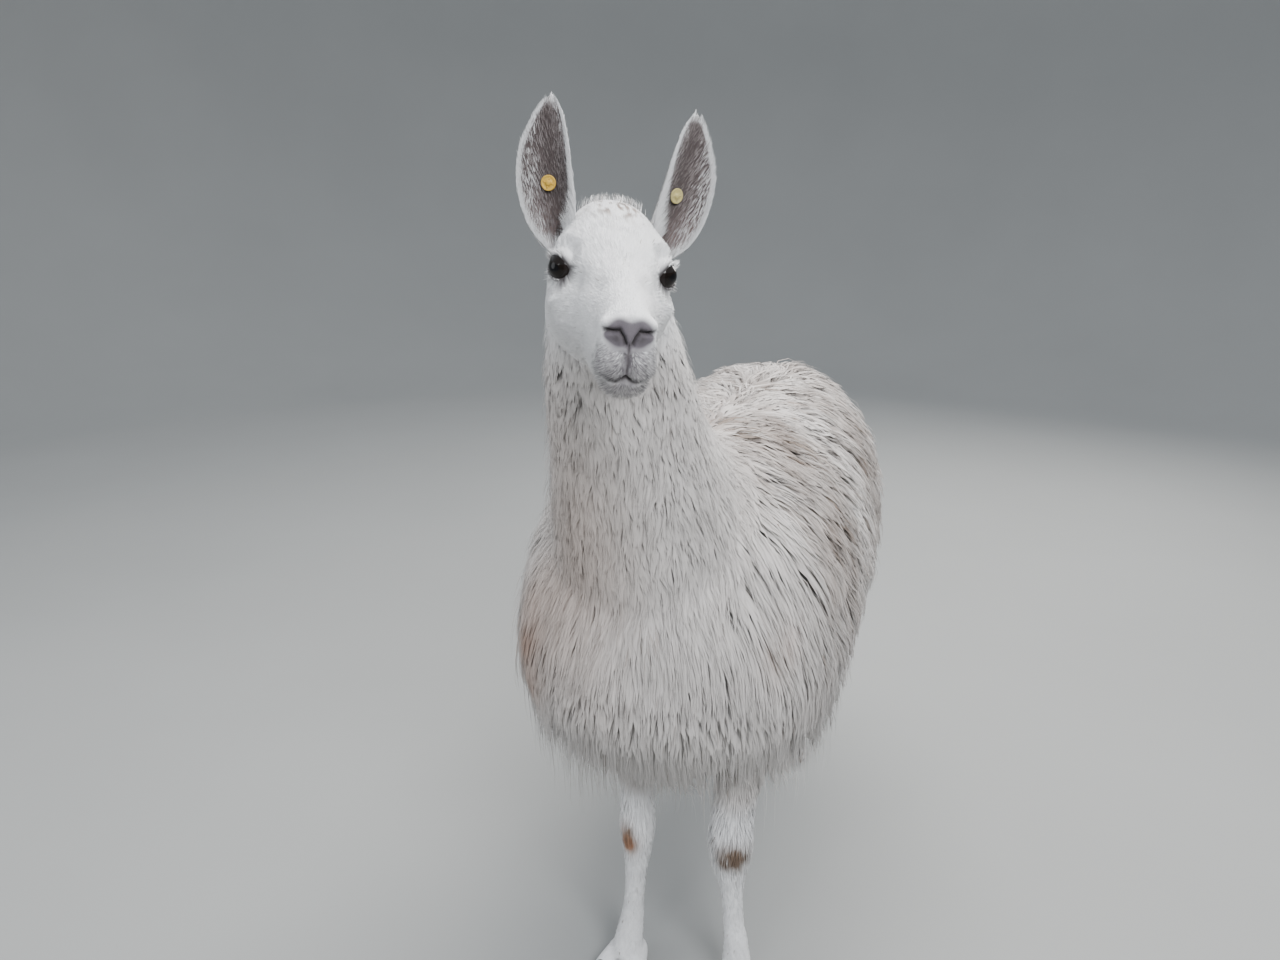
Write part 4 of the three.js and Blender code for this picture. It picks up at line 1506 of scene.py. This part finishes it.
# ---- the lie of the coat
def down_body(points, normal):
    """Down and back over the trunk, and outwards and back on top of it."""
    x, y = points[:, 0], points[:, 1]
    out = np.clip(x / 90, -1, 1) * np.clip(normal[:, 2], 0, 1) * 0.9
    back = 0.12 + 0.42 * smooth(-520, -250, y) - 0.2 * smooth(450, 640, y)
    messy = 0.5 + 0.9 * behind(points)
    ruffle = (0.20 * wobble(points, 130, 21) + 0.24 * wobble(points, 45, 22)) * messy
    sideways = (0.16 * wobble(points, 90, 25) + 0.20 * wobble(points, 34, 26)) * messy
    return np.stack([out + sideways, back + ruffle, -1 + 0 * y], -1)


def down_neck(points, normal):
    ruffle = 0.08 * wobble(points, 70, 23) + 0.20 * wobble(points, 16, 27)
    back = 0.2 + 0.22 * smooth(-300, 0, points[:, 1])
    return np.stack([ruffle + 0.2 * wobble(points, 22, 28), back + ruffle, -1 + 0 * ruffle], -1)


def down(points, normal):
    ruffle = 0.12 * wobble(points, 50, 24)
    return np.stack([ruffle, 0.1 + ruffle, -1 + 0 * ruffle], -1)


def back_over_head(points, normal):
    """From the nose back over the face, round the eyes, down the cheeks, and up at the poll."""
    local = in_head(points)
    x, y, z = local.T
    way = np.stack([-1 + 0 * x, 0.25 * y / 60, -0.30 * smooth(20, -70, z)], -1)
    lips = smooth(150, 195, x) * smooth(-35, -60, z)
    fan = np.stack([-0.3 + 0 * x, np.clip(y / 16, -1.2, 1.2), -0.75 + 0 * x], -1)
    way = way + (fan - way) * lips[:, None]
    poll = smooth(-20, -62, x) * smooth(45, 75, z)
    upright = np.stack([-0.35 + 0 * x, 0.25 * y / 40, 1 + 0 * x], -1)
    way = way + (upright - way) * 0.15 * poll[:, None]
    for gaze in GAZES.values():
        arm = local - gaze.centre
        ring = np.exp(-((np.linalg.norm(arm, axis=1) / 34) ** 2))[:, None]
        way = way + unit(arm) * ring * 1.2
    ruffle = np.stack([wobble(local, 12, seed) for seed in (31, 32, 33)], -1) * 0.16
    return (way + ruffle) @ np.array(HEAD_FRAME, float)[:3, :3].T


def up_ear(ear):
    """From an ear's base to its tip, and out over its rim."""

    def way(points, normal):
        out = np.clip(ear.local(points)[:, 0] / 40, -1, 1) * 0.55
        return np.stack([out, -0.1 + 0 * out, 1 + 0 * out], -1) @ ear.axes.T

    return way


# ---- the fleece
def behind(points):
    """0 on the breast, 1 from behind the shoulder on."""
    return smooth(-520, -240, points[:, 1])


def rearward(breast, change):
    """A number for each place: one on the breast, and changed by so much behind the shoulder."""
    return lambda points: breast + change * behind(points)


def hem_height(x, y):
    """Height of the wool's lower surface over the floor below a place on the trunk."""
    t = np.interp(y, TRUNK["y"], np.linspace(0, 1, len(TRUNK["y"])))
    full = np.maximum(rounding(t, trunk.ends), 0.05)
    power = 2 + trunk.square
    share = np.clip(np.abs(x - trunk.read("x", t)) / (trunk.read("side", t) * full), 0, 0.97)
    return trunk.read("z", t) - trunk.read("aft", t) * full * (1 - share**power) ** (1 / power)


def fringe_share(points):
    """Where the wool hangs free in a long fringe, at the sides of the breast."""
    sides = near(points, (-235, -590, 720), (120, 170, 170)) + near(points, (255, -300, 690), (120, 280, 170))
    return np.minimum(1, 1.2 * sides)


def trunk_height(points, normal):
    return 47 - 6 * smooth(0.5, 0.9, normal[:, 2]) - 22 * smooth(-0.4, -0.8, normal[:, 2])


def trunk_length(points, normal):
    """Short enough to end at the hem, but for the fringe, and shorter on top and over the left foreleg."""
    top = smooth(0.45, 0.85, normal[:, 2])
    front = smooth(-430, -540, points[:, 1])
    fringe = 130 * fringe_share(points)
    free = 124 - 34 * top + 56 * front + 0.6 * fringe
    outer = points + normal * trunk_height(points, normal)[:, None]
    room = points[:, 2] - hem_height(outer[:, 0], outer[:, 1])
    over_leg = near(points, (100, -470, 610), (56, 120, 90))
    return np.clip(room + 14 + 24 * behind(points) + fringe, 50, free) * (1 - 0.6 * over_leg)


def trunk_chance(points, normal):
    hem = smooth(700, 620, points[:, 2])
    return 1.0 + 0.7 * hem + 0.95 * (1 - behind(points)) - 0.5 * smooth(-0.6, -0.9, normal[:, 2])


def crimp(points):
    return 1.2 + (2.4 + 2.6 * smooth(950, 1120, points[:, 2])) * behind(points)


def grow_trunk():
    grown, colours = coat(
        np.random.default_rng(101), (3000, 20800), trunk, 5,
        trunk_chance, trunk_length, trunk_height, down_body,
        cling=lambda points: 0.4 - 0.38 * fringe_share(points), stray=by_height(0.06, (0.16, 760, 640)),
        fill=rearward(0.38, -0.14), ragged=rearward(0.10, 0.30), broad=rearward(4.4, -1.4),
        clump=(17, rearward(0.18, 0.42)), wave=(crimp, 58),
        # tint: share of grey-brown locks, painted shade at the roots, and spread of tone
        tint=(rearward(0.03, 0.37), rearward(0.03, 0.37), rearward(0.07, 0.33)),
    )
    x, y, z = grown["path"][:, 0].T
    front, rear = y < -360, y > 330
    top = ~front & ~rear & (z > 1010)
    middle = ~front & ~rear & ~top
    coat_piece("fleece_breast", FLEECE, grown, colours, 1.2, front, crisp=0.3)
    left, right = middle & (x > 0), middle & (x <= 0)
    for name, keep in (("back", top), ("flank_left", left), ("flank_right", right), ("rump", rear)):
        coat_piece("fleece_" + name, FLEECE, grown, colours, 2.4, keep)


def grow_fringe():
    """Long thin hairs that hang below the breast, one by one."""

    def chance(points, normal):
        z = points[:, 2]
        low = smooth(830, 740, z) * smooth(560, 640, z) * smooth(-0.9, -0.6, normal[:, 2])
        return low * smooth(-180, -380, points[:, 1])

    def length(points, normal):
        return np.clip(points[:, 2] - 590, 80, 200)

    grown, colours = coat(
        np.random.default_rng(112), (150, 1500), trunk, 5, chance, length, trunk_height, down,
        cling=0.0, stray=0.3, tries=12, clump=(5, 0.35), wave=(2.2, 70), tint=(0.05, 0.05, 0.16),
    )
    coat_piece("fleece_fringe", FLEECE, grown, colours, 1.1)


def neck_length(points, normal):
    z = points[:, 2]
    front = smooth(-0.2, -0.8, normal[:, 1])
    return 34 + 42 * smooth(1400, 1150, z) + (50 + 30 * front) * smooth(1180, 900, z)


def grow_neck():
    chance = by_height(1.0, (0.25, 1150, 1400))
    height = by_height(10, (8, 1500, 1400), (26, 1440, 1120))
    grown, colours = coat(
        np.random.default_rng(102), (2200, 12900), neck, 4, chance, neck_length, height, down_neck,
        cling=0.3, stray=0.12, fill=0.42, ragged=0.12, broad=6.4,
        clump=(8, 0.10), wave=(1.2, 60), tint=(0.01, 0.03, 0.06),
    )
    high = grown["path"][:, 0, 2] > 1180
    coat_piece("fleece_neck", FLEECE, grown, colours, 0.95, high, crisp=0.2)
    coat_piece("fleece_chest", FLEECE, grown, colours, 1.2, ~high, crisp=0.2)


def grow_tail():
    grown, colours = coat(
        np.random.default_rng(103), (500, 1800), tail, 4, 1, 90, by_height(30, (-8, 900, 820)), down,
        cling=0.3, clump=(12, 0.5), wave=(3.0, 60), tint=(0.2, 0.3, 0.2),
    )
    coat_piece("fleece_tail", FLEECE, grown, colours, 2.4)


# ---- short hair on the legs
def grow_legs():
    rng = np.random.default_rng(104)
    for name, *_, woolly in LEGS:
        fluff = 0.35 + 0.65 * woolly
        length = by_height(9, (8, 120, 300), (14 * fluff, 270, 350), (10, 440, 600))
        height = by_height(1.3, (1.8, 150, 280), (4.5 * fluff, 280, 360), (6, 460, 620))
        grown, colours = coat(
            rng, (400, 3300), legs[name], 2, by_height(0, (1, 22, 40)), length, height, down,
            cling=0.8, bury=0.6, tint=(0.02, 0.06, 0.10),
        )
        coat_piece("hair_" + name, SHORT, grown, colours, 1.1)


# ---- short hair on the head
ON_HEAD = {"rise": 2.0, "bury": 0.5, "reach": 14.0}


def fold_gap(local):
    return np.min([distance_to(wall, local) for wall, _, _ in fold_walls], axis=0)


def fold_shade(grown):
    """Darkens the hair beside the folds of the face."""
    gap = fold_gap(in_head(grown["path"][:, 0]))
    return (1 - 0.55 * np.exp(-((gap / 6.5) ** 2)))[:, None, None]


def head_chance(points, normal):
    """Everywhere but on bare leather, between the lids and in the folds."""
    local = in_head(points)
    lids = np.minimum(*(gaze.on_lids(local)[2] for gaze in GAZES.values()))
    return smooth(1.5, 4, lids) * smooth(0.5, 0.1, nose_share(local)) * smooth(1.6, 3.6, fold_gap(local))


def cheek_share(points):
    x, _, z = in_head(points).T
    return smooth(10, -60, x) * smooth(10, -60, z)


def crown_share(points):
    """0 on the face, 1 where the hair is longer: poll, back of the head, cheeks and throat."""
    x, _, z = in_head(points).T
    poll = smooth(-22, -60, x) * smooth(35, 66, z)
    throat = smooth(-92, -118, z) * smooth(120, 40, x)
    return np.maximum(np.maximum(poll, smooth(-62, -92, x)), np.maximum(cheek_share(points), throat))


def grow_face():
    """Very short, fine hair that only just breaks the form."""

    def chance(points, normal):
        lips = lip_share(in_head(points))
        return head_chance(points, normal) * (1 - 0.85 * crown_share(points)) * (1 - 0.9 * lips)

    length, height = along_head(6.5, (6.5, 180, 60)), along_head(0.8, (0.6, 180, 60))
    grown, colours = coat(
        np.random.default_rng(105), (3000, 14000), head, 2, chance, length, height, back_over_head,
        cling=0.8, stray=0.02, tint=(0.01, 0.04, 0.05), **ON_HEAD,
    )
    coat_piece("hair_face", SHORT, grown, colours * fold_shade(grown), 0.46)


def grow_lips():
    """Thin white and grey hairs that fan out over the grey lips."""
    rng = np.random.default_rng(111)

    def chance(points, normal):
        local = in_head(points)
        clear = smooth(3, 7, fold_gap(local))
        return head_chance(points, normal) * smooth(0.08, 0.5, lip_share(local)) * clear

    grown = grow(
        rng, (400, 2600), head, 2, chance, 7, 1, back_over_head, cling=0.8, stray=0.02, tries=40, **ON_HEAD
    )
    pale = rng.random(len(grown["path"])) < 0.55
    hair = blend(tinted(grown, 0.0, 0.0, 0.1), LIP_GREY * 1.3, (0.9 - 0.6 * pale)[:, None] * np.ones(3))
    coat_piece("hair_lips", SHORT, grown, hair * fold_shade(grown), 0.22, flatness=0.5)


def grow_crown():
    """Longer hair on the poll, the back of the head, the cheeks and the throat."""
    longer, higher = along_head(9, (15, -75, -115)), along_head(1.4, (4.2, -65, -115))
    grown, colours = coat(
        np.random.default_rng(109), (1200, 5600), head, 3,
        lambda points, normal: head_chance(points, normal) * crown_share(points),
        lambda points, normal: longer(points) + 9 * cheek_share(points),
        lambda points, normal: higher(points) + 3 * cheek_share(points),
        back_over_head, cling=0.9, stray=0.03, tries=6,
        clump=(8, 0.2), wave=(0.6, 34), tint=(0.02, 0.06, 0.08), **ON_HEAD,
    )
    coat_piece("hair_crown", SHORT, grown, colours, 0.65)


def grow_wisps():
    """Loose single hairs that stand up between the ears."""

    def chance(points, normal):
        return smooth(0.1, 0.9, near(in_head(points), (-74, 0, 84), (44, 70, 40)))

    def upright(points, normal):
        spray = np.stack([wobble(points, 9, seed) for seed in (34, 35, 36)], -1)
        return np.array((0, 0.1, 1.0)) + 0.3 * spray

    grown, colours = coat(
        np.random.default_rng(110), (60, 150), head, 4, chance, 18, 11, upright,
        cling=0.8, tries=60, wave=(1.6, 30), tint=(0.05, 0.0, 0.1), **{**ON_HEAD, "rise": 1.4},
    )
    coat_piece("hair_poll", SHORT, grown, colours, 0.27, flatness=0.6)


def grow_ears():
    """Short white hair outside, and fine hair inside that pales from its dark middle to the rims."""
    rng = np.random.default_rng(106)
    for side, name in SIDE_NAME.items():
        ear = ears[side]
        grown = grow(
            rng, (700, 4800), ear, 2, 1,
            lambda points, normal: 9 + 7 * smooth(60, 0, ear.local(points)[:, 2]),
            lambda points, normal: 1.6 + 2.2 * ear_inside(points),
            up_ear(ear), cling=0.8, bury=0.4, reach=5.0, stray=0.03,
        )
        root = grown["path"][:, 0]
        inside = ear_inside(root + grown["normal"][:, 0] * 0.4)
        local = ear.local(root)
        half = between(EAR["half"], np.clip(local[:, 2] / EAR_LENGTH, 0, 1))
        edge = np.abs(local[:, 0]) / half + rng.uniform(-0.4, 0.4, len(root))
        hair = blend(np.broadcast_to(EAR_INSIDE * 1.1, root.shape), EAR_GREY * 0.9, smooth(-0.1, 0.7, edge))
        hair = blend(hair, FACE_WHITE, 0.8 * smooth(0.7, 1.05, edge))
        colours = tinted(grown, 0.02, 0.05, 0.10)
        colours = colours + (hair[:, None, :] - colours) * inside[:, None, None]
        grown["thin"] = grown["thin"] * (1 - 0.4 * inside)
        coat_piece(f"hair_ear_{name}", SHORT, grown, colours, 0.6)


def grow_rims():
    """Long white hairs from the front rims and the base of each ear, across its opening."""
    rng = np.random.default_rng(107)
    count, rings = 1900, 3
    for side, name in SIDE_NAME.items():
        ear = ears[side]
        near_head = rng.random(count) < 0.6
        t = rng.random(count) ** np.where(near_head, 1.5, 1.0) * 0.95 + 0.02
        edge = np.where(near_head, -1, 1) * rng.uniform(0.82, 1.0, count)
        root = moved(ear.leaf(t, edge * rounding(t, EAR_ENDS), 0 * t), ear.matrix)
        length = (11 + (6 + 27 * near_head) * smooth(0.8, 0.1, t)) * rng.uniform(0.6, 1.2, count)
        inward = -edge * (0.45 + 0.5 * rng.random(count))
        first = np.stack([-inward * 0.4, -0.55 - 0.3 * rng.random(count), 0.85 + 0 * t], -1) @ ear.axes.T
        last = np.stack([inward * 0.7, -0.05 + 0.3 * rng.random(count), 0.9 + 0 * t], -1) @ ear.axes.T
        path = np.empty((count, rings + 1, 3))
        path[:, 0] = root
        for k in range(rings):
            way = unit(first + (last - first) * (k / (rings - 1)))
            path[:, k + 1] = path[:, k] + way * (length / rings)[:, None]
        normal = np.broadcast_to(np.array((0, -1, 0)) @ ear.axes.T, path.shape)
        u, v, wide, tall = ear.cell
        uv = np.stack([u + wide * (0.5 + 0.5 * edge), v + tall * t], -1)
        colours = np.broadcast_to(FACE_WHITE, path.shape) * (0.82 + 0.2 * rng.random(count))[:, None, None]
        grown = hair_set(path, normal, uv, rng)
        coat_piece(f"hair_ear_rim_{name}", SHORT, grown, colours, 0.3, flatness=0.6)


# count, whether on the lower lid, length, lift and share of dark ones
LASHES = ((90, False, 13.0, 0.7, 0.25), (40, True, 5.0, -0.7, 0.5))


def grow_lashes():
    """Upper and lower lashes, rooted along the lids' edges and curving out and down."""
    rng = np.random.default_rng(108)
    for side, name in SIDE_NAME.items():
        gaze = GAZES[side]
        paths, picks = [], []
        for count, lower, reach, lift, dark in LASHES:
            for share in np.linspace(-0.98, 0.35, count):
                root = gaze.rim_point(share, lower)
                out = unit(root - gaze.centre)
                swing = -gaze.nose * (0.9 - 0.5 * share)
                first = unit(0.6 * out + lift * gaze.up + 0.4 * swing + 0.12 * rng.normal(size=3))
                last = unit(0.25 * out + lift * 0.5 * gaze.up + swing + 0.12 * rng.normal(size=3))
                length = reach * rng.uniform(0.55, 1.1) * (0.62 - 0.38 * share)
                line = [root - out * 0.8]
                for k in range(4):
                    line.append(line[-1] + unit(first + (last - first) * k / 4) * length / 4)
                paths.append(line)
                picks.append(rng.random() < dark)
        path = moved(np.array(paths), HEAD_FRAME)
        normal = np.broadcast_to(np.array(HEAD_FRAME.to_3x3() @ Vector(gaze.up)), path.shape)
        white = np.broadcast_to(FACE_WHITE * 0.95, path.shape)
        colours = blend(white, RIM_DARK * 2, np.array(picks)[:, None] * np.array((1.0, 1, 0.9, 0.7, 0.5)))
        u, v, wide, tall = head.cell
        uv = np.broadcast_to((u + wide * 0.5, v + tall * 0.42), (len(path), 2))
        coat_piece(f"lashes_{name}", SHORT, hair_set(path, normal, uv, rng), colours, 0.26, flatness=0.7)


grow_trunk()
grow_fringe()
grow_neck()
grow_tail()
grow_legs()
grow_face()
grow_lips()
grow_crown()
grow_wisps()
grow_ears()
grow_rims()
grow_lashes()


# ---- floor, light and camera
def floor_material():
    made, nodes, shade = new_material("pale floor")
    soft = nodes.noise(nodes.place(), 0.9)
    shade(Base_Color=nodes.mix((0.31, 0.315, 0.31, 1), (0.35, 0.355, 0.35, 1), soft), Roughness=0.9)
    return made


def studio_floor():
    """A round floor whose rim curves up all round, so that it has no horizon."""
    radius, bend, wall, steps = 9.0, 3.0, 5.0, 12
    outline = [(0.0, 0.0)]
    for step in range(steps + 1):
        angle = math.pi / 2 * step / steps
        outline.append((radius - bend + bend * math.sin(angle), bend - bend * math.cos(angle)))
    bm = lathe([*outline, (radius, wall)], 96, 1e-4)
    bmesh.ops.recalc_face_normals(bm, faces=bm.faces)
    if bm.faces[0].normal.z < 0:
        bmesh.ops.reverse_faces(bm, faces=bm.faces)
    floor = object_from(bm, "studio_floor")
    floor.data.shade_smooth()
    floor.data.materials.append(floor_material())


BODY, FACE = (0, 0, 0.9), (0, -0.6, 1.5)
# name, place, aim, width in metres, watts and colour
LAMPS = (
    ("overhead", (0.4, 0.6, 4.2), BODY, 3.4, 200, (1.0, 0.98, 0.95)),
    ("key", (2.3, -3.2, 3.6), BODY, 2.0, 170, (0.96, 0.98, 1.0)),
    ("fill", (-3.2, -2.2, 2.0), BODY, 2.6, 38, (0.94, 0.97, 1.0)),
    ("eye light", (-0.5, -3.3, 2.7), FACE, 0.26, 8, (0.96, 0.98, 1.0)),
    ("rim", (1.2, 4.0, 3.0), BODY, 2.0, 110, (1.0, 0.98, 0.94)),
)


def soft_light(name, place, aim, size, watts, colour):
    data = bpy.data.lights.new(name, "AREA")
    data.shape = "DISK"
    data.size = size
    data.energy = watts
    data.color = colour
    lamp = bpy.data.objects.new(name, data)
    lamp.location = place
    lamp.rotation_euler = (Vector(aim) - Vector(place)).to_track_quat("-Z", "Y").to_euler()
    bpy.context.scene.collection.objects.link(lamp)


def studio_light():
    world = bpy.data.worlds.new("studio")
    world.use_nodes = True
    sky = world.node_tree.nodes["Background"]
    sky.inputs["Color"].default_value = (0.86, 0.92, 1.0, 1)
    sky.inputs["Strength"].default_value = 0.85
    bpy.context.scene.world = world
    for lamp in LAMPS:
        soft_light(*lamp)


CAMERA_HEIGHT = 1600
CAMERA_PITCH, CAMERA_YAW = 17, 18
CAMERA_REACH, CAMERA_ASIDE = 1643, 89.2  # from the forefeet back along the view, and to its left
FOREFEET_Y = -380
FOCAL_SHARE = 960 / 1280  # focal length over image width


def camera():
    """Eye height, a little to the llama's left, looking down at it."""
    yaw = math.radians(CAMERA_YAW)
    ahead = Vector((-math.sin(yaw), math.cos(yaw), 0))
    aside = Vector((math.cos(yaw), math.sin(yaw), 0))
    spot = Vector((0, FOREFEET_Y, CAMERA_HEIGHT)) - ahead * CAMERA_REACH - aside * CAMERA_ASIDE
    data = bpy.data.cameras.new("camera")
    data.sensor_width = 36
    data.lens = data.sensor_width * FOCAL_SHARE
    eye = bpy.data.objects.new("camera", data)
    eye.location = PLACE @ spot
    eye.rotation_euler = (math.radians(90 - CAMERA_PITCH), 0, yaw)
    bpy.context.scene.collection.objects.link(eye)
    bpy.context.scene.camera = eye


studio_floor()
studio_light()
camera()
